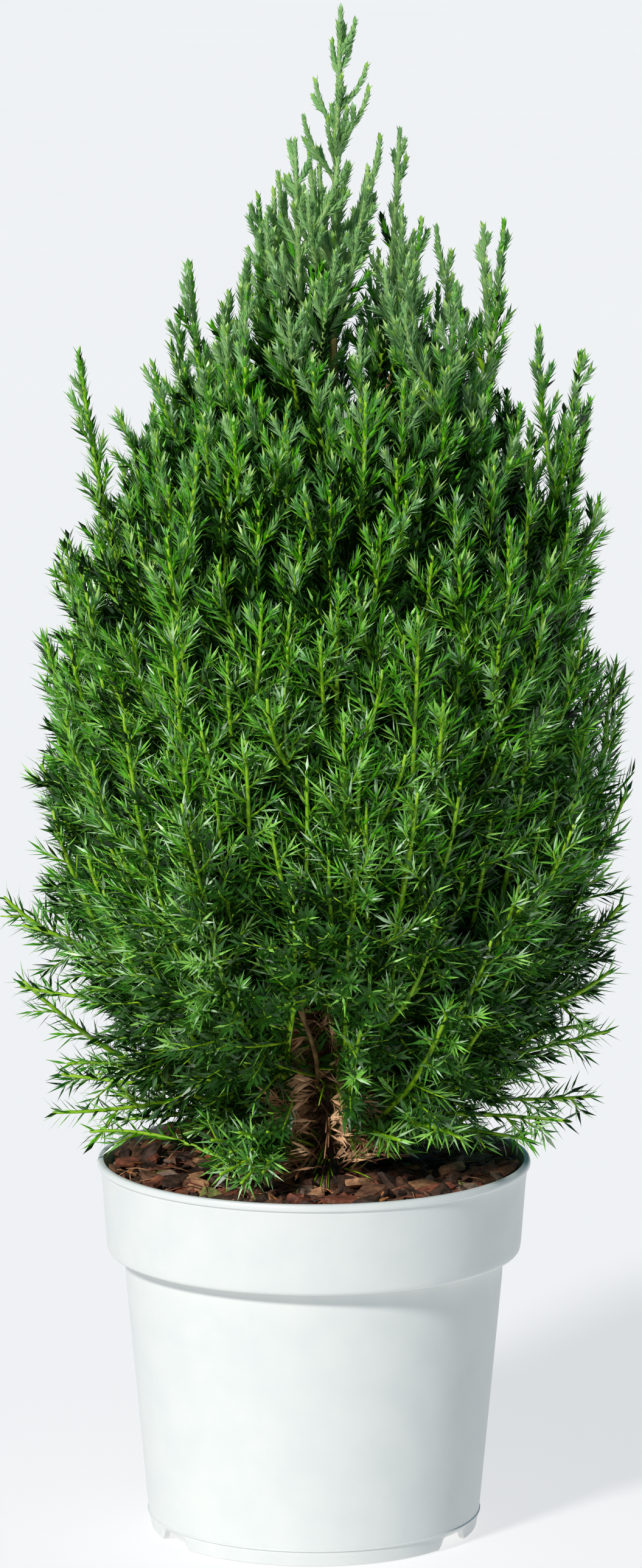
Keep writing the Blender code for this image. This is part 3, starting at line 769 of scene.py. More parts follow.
@dataclass
class Mulch:
    """The bark mulch: a dusty bed, and hundreds of loose flakes, crumbs and straws on it."""

    bed_top: float = 0.1552
    bed_radius: float = 0.0895
    bed_middle: float = 0.004
    bed_rings: int = 46
    bed_columns: int = 160
    flake_reach: float = 0.0908
    flake_count: int = 620
    crumb_count: int = 900
    marked_lift: float = 0.0062
    straw_count: int = 150
    straw_shape: tuple[float, ...] = (0.8, 1.0, 0.9, 0.4)
    straw_kinds: tuple[int, ...] = (4, 2, 5)
    straw_shares: tuple[float, ...] = (0.5, 0.35, 0.15)
    seed: int = 5
    # Flakes with a place of their own: x, y, length and width in millimetres, turn in degrees, kind of chip
    marked: tuple[tuple[float, ...], ...] = (
        (22, 18, 25, 15, -35, 4),
        (-58, -29, 15, 9, 35, 6),
        (-9, -24, 14, 10, 20, 5),
        (-80, -6, 16, 13, 60, 2),
        (-8, -40, 27, 3.4, -34, 4),
        (6, -32, 18, 12, 30, 3),
        (23, -30, 20, 15, 10, 1),
        (47, -44, 18, 12, -20, 4),
        (70, 4, 24, 9, -8, 3),
        (-50, 40, 20, 5, 25, 4),
        (-66, -18, 12, 6, -30, 6),
        (40, 12, 30, 2.2, -52, 4),
        (60, -30, 19, 10, -25, 1),
        (-36, -34, 21, 12, 15, 0),
        (-30, -52, 18, 11, -10, 3),
        (76, -14, 22, 10, 70, 2),
    )

    def surface_height(self, x: Array, y: Array) -> Array:
        """The bed's height at places on it.

        Formula: a mound of 3 mm that falls off from 14 to 30 mm round the trunk, a bank of 2.6 mm that rises
        from 62 to 82 mm round the axis, and ripples of 1 mm with 45 waves in a metre.

        Args:
            x: Places to the right.
            y: Places away from the front.

        Returns:
            Heights.
        """
        mound = 0.0030 * np.clip((0.030 - np.hypot(x - TRUNK_FOOT_X, y)) / 0.016, 0.0, 1.0)
        bank = 0.0026 * np.clip((np.hypot(x, y) - 0.062) / 0.020, 0.0, 1.0)
        ripples = 0.0010 * relief(x * 45, y * 45, 11)
        return self.bed_top + mound + bank + ripples

    def bed(self) -> bpy.types.Object:
        """The bed: a turned form whose top rings follow the surface's height.

        Returns:
            The piece.
        """
        foot = SOIL_TOP + GAP
        top_mark = 1.0
        radii = np.linspace(self.bed_radius, self.bed_middle, self.bed_rings)
        under = [(self.bed_middle, foot), (self.bed_radius - 0.0002, foot)]
        profile = np.array(under + [(radius, top_mark) for radius in radii])
        points, faces = turned_surface(profile, self.bed_columns)
        top = points[:, 2] == top_mark
        points[top, 2] = self.surface_height(points[top, 0], points[top, 1])
        return new_piece("mulch_bed", points, faces, [MULCH_DUST.material()])

    def flakes(
        self, rng: np.random.Generator, sizes: Array, places: Array, turns: Array, tilts: Array
    ) -> Array:
        """Angular flakes of bark.

        Formula: each flake has three rings of six corners. Corner j of ring i is at angle 60 j degrees and
        radius s_i, both jittered, times half the length and half the width, and at height h_i times the
        thickness. Its long edges bow down by up to 0.8 of the thickness. The whole is tilted about x and y,
        turned about z, and set in its place.

        Args:
            rng: Where the jitter comes from.
            sizes: Length, width and thickness, n by 3.
            places: Middles, n by 3.
            turns: Turns about z.
            tilts: Tilts about x and y, n by 2.

        Returns:
            The corners, n by 3 by 6 by 3.
        """
        count = len(sizes)
        angle = np.radians(60.0 * np.arange(6)) + rng.uniform(-0.34, 0.34, (count, 1, 6))
        reach = rng.uniform(0.70, 1.12, (count, 1, 6)) * np.array([0.84, 1.0, 0.82])[:, None]
        reach = reach * rng.uniform(0.93, 1.07, (count, 3, 6))
        level = np.array([-0.5, 0.0, 0.5])[:, None] + rng.uniform(-0.16, 0.16, (count, 3, 6))
        local = np.stack([reach * np.cos(angle) / 2, reach * np.sin(angle) / 2, level], axis=-1)
        local = local * sizes[:, None, None]
        bow = 0.8 * sizes[:, None, None, 2] * (2 * local[..., 1] / sizes[:, None, None, 1]) ** 2
        local[..., 2] -= bow * rng.uniform(0.0, 1.0, (count, 1, 1))
        matrix = turn_matrix(turns, tilts)
        return np.einsum("nab,nijb->nija", matrix, local) + places[:, None, None]

    def loose_bark(self) -> bpy.types.Object:
        """All flakes and crumbs in one mesh, with the kind of each dealt out at random.

        Returns:
            The piece.
        """
        rng = np.random.default_rng(self.seed)
        total = self.flake_count + self.crumb_count
        is_crumb = np.arange(total) >= self.flake_count
        crumb_length = rng.uniform(0.0022, 0.0065, total)
        flake_length = 0.008 + 0.017 * rng.beta(1.4, 2.2, total)
        length = np.where(is_crumb, crumb_length, flake_length)
        width = length * rng.uniform(0.38, 0.80, total)
        thickness = length * rng.uniform(0.10, 0.24, total)
        sizes = np.stack([length, width, thickness], axis=1)
        radius = 0.0885 * np.sqrt(rng.uniform(0.012, 1.0, total))
        azimuth = rng.uniform(0, 2 * math.pi, total)
        x, y = radius * np.cos(azimuth), radius * np.sin(azimuth)
        lift = rng.uniform(0.0004, 0.0056, total) + 0.25 * thickness
        turns = rng.uniform(0, 2 * math.pi, total)
        tilts = rng.normal(0.0, 0.30, (total, 2))
        kind = rng.choice(len(CHIP_FINISHES), total, p=np.array(CHIP_SHARES))
        marked = np.array(self.marked)
        some = len(marked)
        x[:some], y[:some] = marked[:, 0] / 1000, marked[:, 1] / 1000
        sizes[:some] = np.stack([marked[:, 2], marked[:, 3], 0.16 * marked[:, 3] + 0.6], axis=1) / 1000
        turns[:some] = np.radians(marked[:, 4])
        tilts[:some] = tilts[:some] * 0.35 + (0.16, 0.0)
        lift[:some] = self.marked_lift
        kind[:some] = marked[:, 5].astype(int)
        places = np.stack([x, y, self.surface_height(x, y) + lift], axis=1)
        points = self.flakes(rng, sizes, places, turns, tilts)
        reach = np.linalg.norm(points[..., :2], axis=-1).max(axis=(1, 2))
        inward = np.maximum(0.0, reach - self.flake_reach)[:, None] * unit(places[:, :2])
        points[..., :2] -= inward[:, None, None]
        faces = tube_faces(total, 3, 6)
        slots = tube_slots(kind, 3, 6)
        materials = [finish.material() for finish in CHIP_FINISHES]
        return new_piece("loose_bark", points.reshape(-1, 3), faces, materials, slots, smooth=False)

    def straws(self) -> bpy.types.Object:
        """Thin dry twigs and fallen needles that lie on the mulch, as bent tubes of three sides.

        Returns:
            The piece.
        """
        rng = np.random.default_rng(self.seed + 1)
        radius = 0.084 * np.sqrt(rng.uniform(0.05, 1.0, self.straw_count))
        azimuth = rng.uniform(0, 2 * math.pi, self.straw_count)
        heading = rng.uniform(0, 2 * math.pi, self.straw_count)
        length = rng.uniform(0.006, 0.020, self.straw_count)
        share = np.linspace(-0.5, 0.5, 4)
        x = radius * np.cos(azimuth)
        y = radius * np.sin(azimuth)
        run = np.stack([np.cos(heading), np.sin(heading)], axis=1) * length[:, None]
        flat = np.stack([x, y], axis=1)[:, None] + run[:, None] * share[:, None]
        height = self.surface_height(flat[..., 0], flat[..., 1]).mean(axis=1)
        height = height + rng.uniform(0.004, 0.007, self.straw_count)
        bow = 0.08 * length[:, None] * (1 - 4 * share**2)
        paths = np.concatenate([flat, (height[:, None] + bow + share * 0.002)[..., None]], axis=-1)
        past = np.maximum(1.0, np.linalg.norm(paths[..., :2], axis=-1) / self.bed_radius)
        paths[..., :2] /= past[..., None]
        thick = rng.uniform(0.00025, 0.0006, self.straw_count)[:, None] * np.array(self.straw_shape)
        points = tube_points(paths, thick, 3)
        kind = rng.choice(len(self.straw_kinds), self.straw_count, p=self.straw_shares)
        materials = [CHIP_FINISHES[number].material() for number in self.straw_kinds]
        faces = tube_faces(self.straw_count, 4, 3)
        return new_piece("straws", points.reshape(-1, 3), faces, materials, tube_slots(kind, 4, 3))

    def build(self) -> None:
        """Makes the bed and what lies on it."""
        for piece in (self.bed(), self.loose_bark(), self.straws()):
            dress(piece, ["bark_mulch"])


def turn_matrix(turns: Array, tilts: Array) -> Array:
    """Matrices that tilt about x, then about y, and then turn about z.

    Args:
        turns: Turns about z, in radians.
        tilts: Tilts about x and y, n by 2.

    Returns:
        Matrices, n by 3 by 3.
    """

    def about(axis: int, angle: Array) -> Array:
        """The turn about one axis.

        Args:
            axis: Its number.
            angle: How far, in radians.

        Returns:
            Matrices, n by 3 by 3.
        """
        made = np.zeros((len(angle), 3, 3))
        first, second = [(1, 2), (2, 0), (0, 1)][axis]
        made[:, axis, axis] = 1.0
        made[:, first, first] = made[:, second, second] = np.cos(angle)
        made[:, second, first] = np.sin(angle)
        made[:, first, second] = -np.sin(angle)
        return made

    return about(2, turns) @ about(1, tilts[:, 1]) @ about(0, tilts[:, 0])


def trunk_point(height: float) -> Array:
    """The trunk's centre line: a straight lean with one slow sway across it.

    Args:
        height: The height.

    Returns:
        The point there.
    """
    share = (height - TRUNK_FOOT) / (LEADER_TIP_HEIGHT - TRUNK_FOOT)
    sway = TRUNK_SWAY * math.sin(2 * math.pi * share)
    return np.array([TRUNK_FOOT_X + TRUNK_LEAN_X * share + sway, -sway, height])


def trunk_radius(height: Array) -> Array:
    """The trunk's thickness: an even taper with a flare at the roots.

    Formula: the taper's radius plus the flare's, which falls off as e^(-h / rise) with the height h.

    Args:
        height: Heights.

    Returns:
        Radii.
    """
    share = (height - TRUNK_FOOT) / (TRUNK_TOP - TRUNK_FOOT)
    taper = TRUNK_RADIUS + (TRUNK_TIP_RADIUS - TRUNK_RADIUS) * share
    return taper + FLARE_RADIUS * np.exp(-(height - TRUNK_FOOT) / FLARE_RISE)


def bezier(start: Array, first: Array, second: Array, end: Array, count: int) -> Array:
    """Points of a cubic curve, evenly spaced in its parameter t.

    Formula: (1-t)^3 start + 3 (1-t)^2 t first + 3 (1-t) t^2 second + t^3 end.

    Args:
        start: Where it starts.
        first: The point that it leaves the start towards.
        second: The point that it comes to the end from.
        end: Where it ends.
        count: How many points.

    Returns:
        The points.
    """
    t = np.linspace(0.0, 1.0, count)[:, None]
    u = 1.0 - t
    return u**3 * start + 3 * u**2 * t * first + 3 * u * t**2 * second + t**3 * end


def resampled(points: Array, step: float) -> Array:
    """The polyline's points set a step apart, both ends kept.

    Args:
        points: The polyline.
        step: The step, which is adjusted a little to come out even.

    Returns:
        The new points.
    """
    lengths = run_along(points)
    count = max(2, int(round(lengths[-1] / step)) + 1)
    wanted = np.linspace(0.0, lengths[-1], count)
    return np.stack([np.interp(wanted, lengths, points[:, axis]) for axis in range(3)], axis=1)


def clear_of(points: Array, others: Array, gap: float) -> bool:
    """Whether every point is at least the gap from every one of the others."""
    return bool(np.linalg.norm(points[:, None] - others[None], axis=2).min() >= gap)


@dataclass
class Leader:
    """A stem that carries shoots: its mass, evenly spaced points, and how thick it is at its root."""

    mass: str
    points: Array
    radius: float
    fine: bool = False

    def run(self) -> float:
        """The stem's length."""
        return AXIS_STEP * (len(self.points) - 1)

    def at(self, place: Array) -> tuple[Array, Array]:
        """Places on the stem.

        Args:
            place: Distances from its root.

        Returns:
            The points there, and the stem's directions.
        """
        index = np.minimum((place / AXIS_STEP).astype(int), len(self.points) - 2)
        step = self.points[index + 1] - self.points[index]
        points = self.points[index] + step * (place / AXIS_STEP - index)[:, None]
        return points, unit(np.gradient(self.points, axis=0))[index]


@dataclass
class Crown:
    """The plan of the crown: limbs and leaders by the rule of the solids, and finer leaders forked off."""

    limbs: dict[str, Array] = field(default_factory=dict)
    leaders: list[Leader] = field(default_factory=list)
    stem_radius: float = 0.00175
    fork_radius: float = 0.00135
    spray_radius: float = 0.00105
    tip_trim: int = 2
    fork_spacing: float = 0.095
    fork_run: tuple[float, float] = (0.040, 0.075)
    fork_drift: tuple[float, float] = (0.013, 0.022)
    surface_tips: int = 310
    outline_margin: float = 0.004
    hem_height: float = 0.1655
    hem_rise: float = 0.200
    hem_clearance: float = 0.0050
    droop: tuple[float, float] = (-0.031, -0.072)
    droop_width: float = 0.028
    droop_depth: float = 0.034
    wall_clearance: float = 0.004
    rim_clearance: float = 0.003
    rim_margin: float = 0.002
    tip_clearance: float = 0.0005
    window_foot: float = 0.165
    window_top: float = 0.248
    window_front: float = -0.010
    window_levels: tuple[float, ...] = (0.165, 0.205, 0.245)
    window_halves: tuple[float, ...] = (0.0115, 0.0090, 0.0062)

    def tier_tip(self, tier: Tier, number: int) -> Array:
        """Where a mass's tip is: its own place, or else by the tier's ring with a slow wave on it.

        Args:
            tier: The mass's tier.
            number: Its number there.

        Returns:
            The tip.
        """
        name = f"{tier.name}_{number}"
        if name in SEEN_TIPS:
            return np.array(SEEN_TIPS[name]) / 1000.0
        azimuth = math.radians(tier.first_azimuth + 360.0 * number / tier.count)
        wave = math.sin(2.4 * number + len(tier.name))
        reach = tier.reach * (1.0 + 0.05 * wave)
        height = tier.tip_height + 0.012 * math.cos(1.7 * number)
        return np.array([reach * math.cos(azimuth), reach * math.sin(azimuth), height])

    def limb_path(self, tier: Tier, number: int) -> Array:
        """The path from the trunk's centre to a mass's tip: out from the trunk first, then upwards.

        Args:
            tier: The mass's tier.
            number: Its number there.

        Returns:
            Evenly spaced points.
        """
        tip = self.tier_tip(tier, number)
        root = trunk_point(tier.root_height + tier.root_step * ((3 * number + 1) % tier.count))
        across = tip - root
        rise = across[2]
        across[2] = 0.0
        first = root + across * tier.early_reach * 0.72
        first[2] += rise * tier.early_rise
        second = root + across * (0.5 + 0.5 * tier.early_reach)
        second[2] += rise * tier.late_rise
        if tier.name == "skirt":
            first[2] += 0.10 * np.linalg.norm(across)
            second[2] += 0.12 * np.linalg.norm(across)
        return resampled(bezier(root, first, second, tip, 60), AXIS_STEP)

    def side_leader(self, main: Array, share: float, side: int, rng: random.Random) -> Array:
        """A leader that forks off the main one, leans out sideways and then runs on beside it.

        Args:
            main: The main leader's points.
            share: How far along it the fork is.
            side: 1 or -1.
            rng: Where the jitter comes from.

        Returns:
            Evenly spaced points.
        """
        count = len(main)
        start = int(share * count)
        end = min(count - 1, start + int(count * rng.uniform(0.40, 0.52)))
        ahead = unit(main[min(count - 1, start + 3)] - main[start])
        outward = unit(main[end] * LEVEL + HAIR)
        sideways = unit(np.cross(ahead, outward)) * side
        drift = rng.uniform(0.018, 0.026)
        tip = main[end] + sideways * drift + outward * rng.uniform(0.0, 0.006)
        length = np.linalg.norm(tip - main[start])
        first = main[start] + (ahead + 0.75 * sideways) * length * 0.30
        second = tip - unit(main[end] - main[end - 3]) * length * 0.35
        return resampled(bezier(main[start], first, second, tip, 40), AXIS_STEP)

    def plan_solids(self) -> dict[str, list[Array]]:
        """The leaders of every mass, exactly as the solids have them.

        Returns:
            Each mass's leaders, the main one first.
        """
        axes: dict[str, list[Array]] = {}
        for tier in TIERS:
            for number in range(tier.count):
                path = self.limb_path(tier, number)
                name = f"{tier.name}_{number}"
                if tier.bough_share:
                    split = int(tier.bough_share * len(path))
                    self.limbs[name] = path[: split + 1]
                    start = path[split] + unit(path[split + 1] - path[split]) * GAP
                    axes[name] = [np.vstack([start, path[split + 1 :]])]
                else:
                    axes[name] = [path]
        steps = int((LEADER_TIP_HEIGHT - TRUNK_TOP) / AXIS_STEP)
        heights = np.linspace(TRUNK_TOP + GAP, LEADER_TIP_HEIGHT, steps)
        axes["leader"] = [np.array([trunk_point(height) for height in heights])]
        limb_points = np.vstack(list(self.limbs.values()))
        counts = {tier.name: tier.side_leaders for tier in TIERS} | {"leader": 0}
        for name, own in axes.items():
            rng = random.Random(name)
            for fork in range(counts[name.split("_")[0]]):
                side = 1 if (fork + len(name)) % 2 else -1
                axis = self.side_leader(own[0], 0.10 + 0.24 * fork, side, rng)
                others = np.vstack([a for other, found in axes.items() if other != name for a in found])
                if clear_of(axis[4:], others, 0.011) and clear_of(axis[4:], limb_points, 0.006):
                    own.append(axis)
        return axes

    def fine_forks(self, host: Leader, rng: random.Random) -> list[Leader]:
        """Finer leaders that leave one leader at even spaces, each a golden angle further round it.

        Args:
            host: The leader that they leave.
            rng: Where the jitter comes from.

        Returns:
            The new leaders.
        """
        made = []
        count = len(host.points)
        run = AXIS_STEP * count
        place = 0.30 * run
        turn = rng.uniform(0, 2 * math.pi)
        while place < run - self.fork_run[0]:
            start = int(place / AXIS_STEP)
            end = min(count - 5, start + int(rng.uniform(*self.fork_run) / AXIS_STEP))
            root, beyond = host.points[start], host.points[end]
            ahead = unit(host.points[min(count - 1, start + 3)] - root)
            outward = unit((beyond - trunk_point(beyond[2])) * LEVEL + HAIR)
            level, other = square_to(ahead)
            ring = math.cos(turn) * level + math.sin(turn) * other
            ring = unit(ring + 0.55 * outward)
            tip = beyond + ring * rng.uniform(*self.fork_drift)
            length = np.linalg.norm(tip - root)
            first = root + unit(ahead + 0.9 * ring) * length * 0.32
            second = tip - unit(beyond - host.points[end - 3]) * length * 0.35
            path = resampled(bezier(root, first, second, tip, 24), AXIS_STEP)
            fits = self.inside(path, self.outline_margin).all() and self.depth(path[-1:])[0] > -0.005
            if fits and end - start > 8:
                made.append(Leader(host.mass, path, self.fork_radius, True))
            place += self.fork_spacing * rng.uniform(0.85, 1.15)
            turn += GOLDEN_ANGLE
        return made

    def seen_fork(self, tip: Array, run: float, hosts: list[Leader], upright: float = 0.5) -> Leader:
        """A finer leader up to a given tip, from the leader that can best reach it.

        Formula: it leaves its host where |turn - 0.35| + 3 |distance / run - 1| is least, with the turn in
        radians between the host's direction and the tip's.

        Args:
            tip: Where it ends.
            run: How long it should be.
            hosts: The leaders that it may fork from.
            upright: How much its last half turns upwards.

        Returns:
            The new leader.
        """
        points = np.vstack([host.points[:-4] for host in hosts])
        ahead = np.vstack([unit(np.gradient(host.points, axis=0))[:-4] for host in hosts])
        owner = np.concatenate([np.full(len(host.points) - 4, number) for number, host in enumerate(hosts)])
        away = tip - points
        distance = np.linalg.norm(away, axis=1)
        turn = np.arccos(np.clip((unit(away) * ahead).sum(axis=1), -1, 1))
        cost = np.abs(turn - 0.35) + 3.0 * np.abs(distance / run - 1.0)
        best = int(np.argmin(cost))
        start, heading, length = points[best], ahead[best], distance[best]
        first = start + unit(heading + 0.8 * unit(away[best])) * length * 0.24
        second = tip - unit(unit(away[best]) + heading * 0.5 + (0, 0, upright)) * length * 0.55
        path = resampled(bezier(start, first, second, tip, 30), AXIS_STEP)
        return Leader(hosts[owner[best]].mass, path, self.fork_radius * min(1.0, run / 0.06), True)

    def tips_on_surface(self) -> Array:
        """Tips spread evenly over the crown's dense surface.

        Formula: tip i has the height at which the share (i + 0.5) / n of the surface lies below it, an
        azimuth of i golden angles, and a radius of 0.88 to 1 times the surface's. In these shares the upper
        crown counts up to 1.4 times, and the hem half.

        Returns:
            The tips, n by 3.
        """
        rng = np.random.default_rng(17)
        level = np.linspace(CROWN_SURFACE[0][0], CROWN_SURFACE[-1][0], 400)
        crowding = np.interp(level, (0.20, 0.25, 0.44, 0.56), (0.5, 1.0, 1.0, 1.4))
        area = np.cumsum(self.surface(level, np.full(400, math.pi / 2)) * crowding)
        order = np.arange(self.surface_tips)
        tall = np.interp((order + 0.5) / self.surface_tips, area / area[-1], level)
        azimuth = (order * GOLDEN_ANGLE) % (2 * math.pi)
        reach = self.surface(tall, azimuth) * rng.uniform(0.88, 1.0, self.surface_tips)
        return np.stack([reach * np.cos(azimuth), reach * np.sin(azimuth), tall], axis=1)

    def surface(self, height: Array, azimuth: Array) -> Array:
        """The dense surface's distance from the pot's axis.

        Formula: left (1 - cos a) / 2 + right (1 + cos a) / 2 for the azimuth a, where left and right are read
        off against height.

        Args:
            height: Heights.
            azimuth: Directions round the axis, 0 to the right.

        Returns:
            Distances.
        """
        level, left, right = np.array(CROWN_SURFACE).T
        share = (1 + np.cos(azimuth)) / 2
        return np.interp(height, level, left) * (1 - share) + np.interp(height, level, right) * share

    def depth(self, points: Array) -> Array:
        """How deep inside the crown's dense surface points lie."""
        azimuth = np.arctan2(points[:, 1], points[:, 0])
        return self.surface(points[:, 2], azimuth) - np.linalg.norm(points[:, :2], axis=1)

    def outline(self, height: Array) -> Array:
        """How far the crown reaches from the pot's axis at a height."""
        return np.interp(height, *zip(*CROWN_OUTLINE))

    def window(self, points: Array) -> Array:
        """The open place in front of the trunk, which narrows upwards.

        Args:
            points: Any number of points.

        Returns:
            Whether each lies in it.
        """
        height = points[..., 2]
        middle = 0.004 - 0.07 * (height - self.window_foot)
        half = np.interp(height, self.window_levels, self.window_halves)
        in_front = points[..., 1] < self.window_front
        return (np.abs(points[..., 0] - middle) < half) & in_front & (height < self.window_top)

    def inside(self, points: Array, margin: float) -> Array:
        """Whether points lie within the crown's reach, clear of pot and mulch, and not in the open place.

        The foliage's hem over the mulch rises towards the front, apart from one drooping spray.

        Args:
            points: Any number of points.
            margin: How far they may pass the crown's outline.

        Returns:
            One truth value for each point.
        """
        radius = np.linalg.norm(points[..., :2], axis=-1)
        height = points[..., 2]
        hem = self.hem_height + self.hem_rise * np.clip(-points[..., 1], 0.0, None)
        droop = np.linalg.norm(points[..., :2] - self.droop, axis=-1) / self.droop_width
        hem = np.maximum(hem - self.droop_depth * np.exp(-(droop**2)), MULCH_TOP + self.hem_clearance)
        beyond_rim = RIM_RADIUS + self.rim_margin
        over_rim = POT_HEIGHT + self.rim_clearance
        clear = (height > hem) & (radius < RIM_RADIUS - self.wall_clearance)
        clear |= (height > np.maximum(hem, over_rim)) & (radius < beyond_rim)
        clear |= (height > over_rim) & (radius > beyond_rim)
        clear &= radius < self.outline(height) + margin
        clear &= (points[..., 0] > REACH_LEFT) & (points[..., 0] < REACH_RIGHT)
        clear &= height < LEADER_TIP_HEIGHT - self.tip_clearance
        return clear & ~self.window(points)

    def forks_to(
        self, tips: tuple[tuple[int, ...], ...], hosts: list[Leader], drop: int = 0, upright: float = 0.5
    ) -> list[Leader]:
        """Finer leaders up to a table of tips.

        Args:
            tips: Place and length of each, in millimetres.
            hosts: The leaders that they may fork from.
            drop: How far under the tip a stem ends, in millimetres, where its needles reach further.
            upright: How much their last half turns upwards.

        Returns:
            The new leaders, in the table's order.
        """
        return [
            self.seen_fork(np.array([x, y, z - drop]) / 1000.0, run / 1000.0, hosts, upright)
            for x, y, z, run in tips
        ]

    def plan(self) -> None:
        """Fills in every limb and leader."""
        for name, axes in self.plan_solids().items():
            for number, axis in enumerate(axes):
                if number and self.depth(axis[-1:])[0] < -0.006:
                    continue
                if name == "leader":
                    self.leaders.append(Leader(name, axis[:-1], TRUNK_TIP_RADIUS))
                    continue
                radius = self.stem_radius * (1.0 if number == 0 else 0.8)
                self.leaders.append(Leader(name, axis[: -self.tip_trim], radius))
        hosts = list(self.leaders)
        top = [leader for leader in hosts if leader.mass == "leader"]
        drooping = [leader for leader in hosts if leader.mass == "skirt_5"]
        sprays = self.forks_to(LOW_SPRAY_TIPS, hosts, upright=-0.15)
        for spray in sprays:
            spray.radius = self.spray_radius
        self.leaders += self.forks_to(FORK_TIPS, hosts, drop=4) + sprays
        self.leaders += self.forks_to(TOP_SHOOT_TIPS, top, drop=2)
        self.leaders += self.forks_to(DROOP_TIPS, drooping, upright=0.0)
        for tip in self.tips_on_surface():
            run = float(np.interp(tip[2], (0.19, 0.26, 0.45, 0.62), (0.080, 0.120, 0.125, 0.050)))
            upright = float(np.interp(tip[2], (0.21, 0.32), (0.2, 2.8)))
            fork = self.seen_fork(tip, run, hosts, upright)
            if self.inside(fork.points[8:], self.outline_margin).all():
                self.leaders.append(fork)
        for host in hosts:
            if host.mass != "leader":
                rng = random.Random(f"{host.mass} {len(host.points)} forks")
                self.leaders.extend(self.fine_forks(host, rng))
        LOG.info("crown: %d limbs and %d leaders", len(self.limbs), len(self.leaders))


@dataclass
class Wood:
    """Trunk and boughs with the relief of stringy bark."""

    crown: Crown
    strip_depth: float = 0.15
    young_height: float = 0.43
    young_waver: float = 0.012
    trunk_foot_depth: float = 0.0020
    trunk_rings: int = 300
    trunk_sides: int = 40
    bough_step: float = 0.0009
    bough_sides: int = 18

    def strips(self, turn: Array, run: Array, phase: float) -> Array:
        """The bark's relief, from about -0.5 to 0.5.

        Formula: 0.5 |sin(3a + w)| + 0.3 |sin(5a - w + 40 s)| + 0.2 sin(11a + 90 s + w), less 0.45, for the
        angle a and the run s along the limb, with w = 1.1 sin(70 s + c) + 0.7 sin(31 s).

        Args:
            turn: Angles round the limb.
            run: Distance along it, in metres.
            phase: The pattern's start.

        Returns:
            Heights as shares of the strip depth.
        """
        sway = 1.1 * np.sin(70 * run + phase) + 0.7 * np.sin(31 * run)
        broad = 0.5 * np.abs(np.sin(3 * turn + sway)) + 0.3 * np.abs(np.sin(5 * turn - sway + 40 * run))
        return broad + 0.2 * np.sin(11 * turn + 90 * run + sway) - 0.45

    def limb(self, path: Array, radii: Array, sides: int, phase: float) -> Array:
        """One barked limb.

        Args:
            path: Its centre line.
            radii: Its radius at each point.
            sides: Corners in a ring.
            phase: The bark pattern's start.

        Returns:
            The points, with a ring for each point of the path.
        """
        turn = 2 * math.pi * np.arange(sides) / sides
        strips = self.strips(turn[None], run_along(path)[:, None], phase)
        rough = radii[:, None] * (1 + self.strip_depth * strips)
        return tube_points(path[None], rough[None], sides).reshape(-1, 3)

    def trunk(self) -> bpy.types.Object:
        """The trunk, flared at its foot, with young bark above a wavering line.

        Returns:
            The piece.
        """
        rings, sides = self.trunk_rings, self.trunk_sides
        heights = np.linspace(TRUNK_FOOT - self.trunk_foot_depth, TRUNK_TOP, rings)
        path = np.array([trunk_point(height) for height in heights])
        points = self.limb(path, trunk_radius(np.maximum(heights, TRUNK_FOOT)), sides, 0.4)
        waver = self.young_waver * np.sin(2 * np.pi * np.arange(sides) / sides)
        level = np.repeat(heights[:-1], sides) + np.tile(waver, rings - 1)
        slots = np.append((level > self.young_height).astype(int), [0, 1])
        # Old bark below the line, lightened with painted light, and young bark above.
        materials = [BARK_PAINTED_LIGHT.material(), YOUNG_BARK.material()]
        return new_piece("trunk_bark", points, tube_faces(1, rings, sides), materials, slots)

    def boughs(self, names: list[str]) -> bpy.types.Object:
        """The boughs, in one mesh.

        Args:
            names: The masses that they carry.

        Returns:
            The piece.
        """
        points, quads, ends, first = [], [], [], 0
        for number, name in enumerate(names):
            path = resampled(self.crown.limbs[name], self.bough_step)
            radii = np.linspace(BOUGH_RADIUS, BOUGH_TIP_RADIUS, len(path))
            limb = self.limb(path, radii, self.bough_sides, 1.7 * number)
            faces = tube_faces(1, len(path), self.bough_sides)
            points.append(limb)
            quads.append(faces[0] + first)
            ends.append(faces[1] + first)
            first += len(limb)
        faces = [np.vstack(quads), np.vstack(ends)]
        # Bough bark, lightened with painted light.
        return new_piece("bough_bark", np.vstack(points), faces, [BARK_PAINTED_LIGHT.material()])

    def build(self) -> None:
        """Makes the trunk and all boughs."""
        names = sorted(self.crown.limbs)
        dress(self.trunk(), ["trunk"])
        dress(self.boughs(names), [f"bough_{name}" for name in names])


@dataclass
class Habit:
    """How shoots and needles stand, by a measure of youth: 0 for old low growth, 1 for the topmost tips."""

    youth: tuple[float, ...] = (0.0, 0.30, 0.55, 0.78, 1.0)
    leader_angle: tuple[float, ...] = (60.0, 56.0, 48.0, 32.0, 21.0)
    leader_whorls: tuple[float, ...] = (0.0029, 0.0034, 0.0030, 0.0024, 0.0020)
    shoot_angle: tuple[float, ...] = (52.0, 45.0, 35.0, 27.0, 22.0)
    shoot_whorls: tuple[float, ...] = (0.0028, 0.0024, 0.0020, 0.0016, 0.0014)
    needle_length: tuple[float, ...] = (0.0110, 0.0106, 0.0095, 0.0070, 0.0052)
    needle_width: tuple[float, ...] = (0.00112, 0.00112, 0.00116, 0.00140, 0.00205)
    shoot_length: tuple[float, ...] = (0.034, 0.022, 0.0155, 0.0105, 0.0085)
    shoot_lean: tuple[float, ...] = (58.0, 50.0, 43.0, 38.0, 36.0)
    shoot_spacing: tuple[float, ...] = (0.0080, 0.0062, 0.0052, 0.0060, 0.0074)

    def at(self, youth: Array, trait: tuple[float, ...]) -> Array:
        """A trait's value at each measure of youth."""
        return np.interp(youth, self.youth, trait)


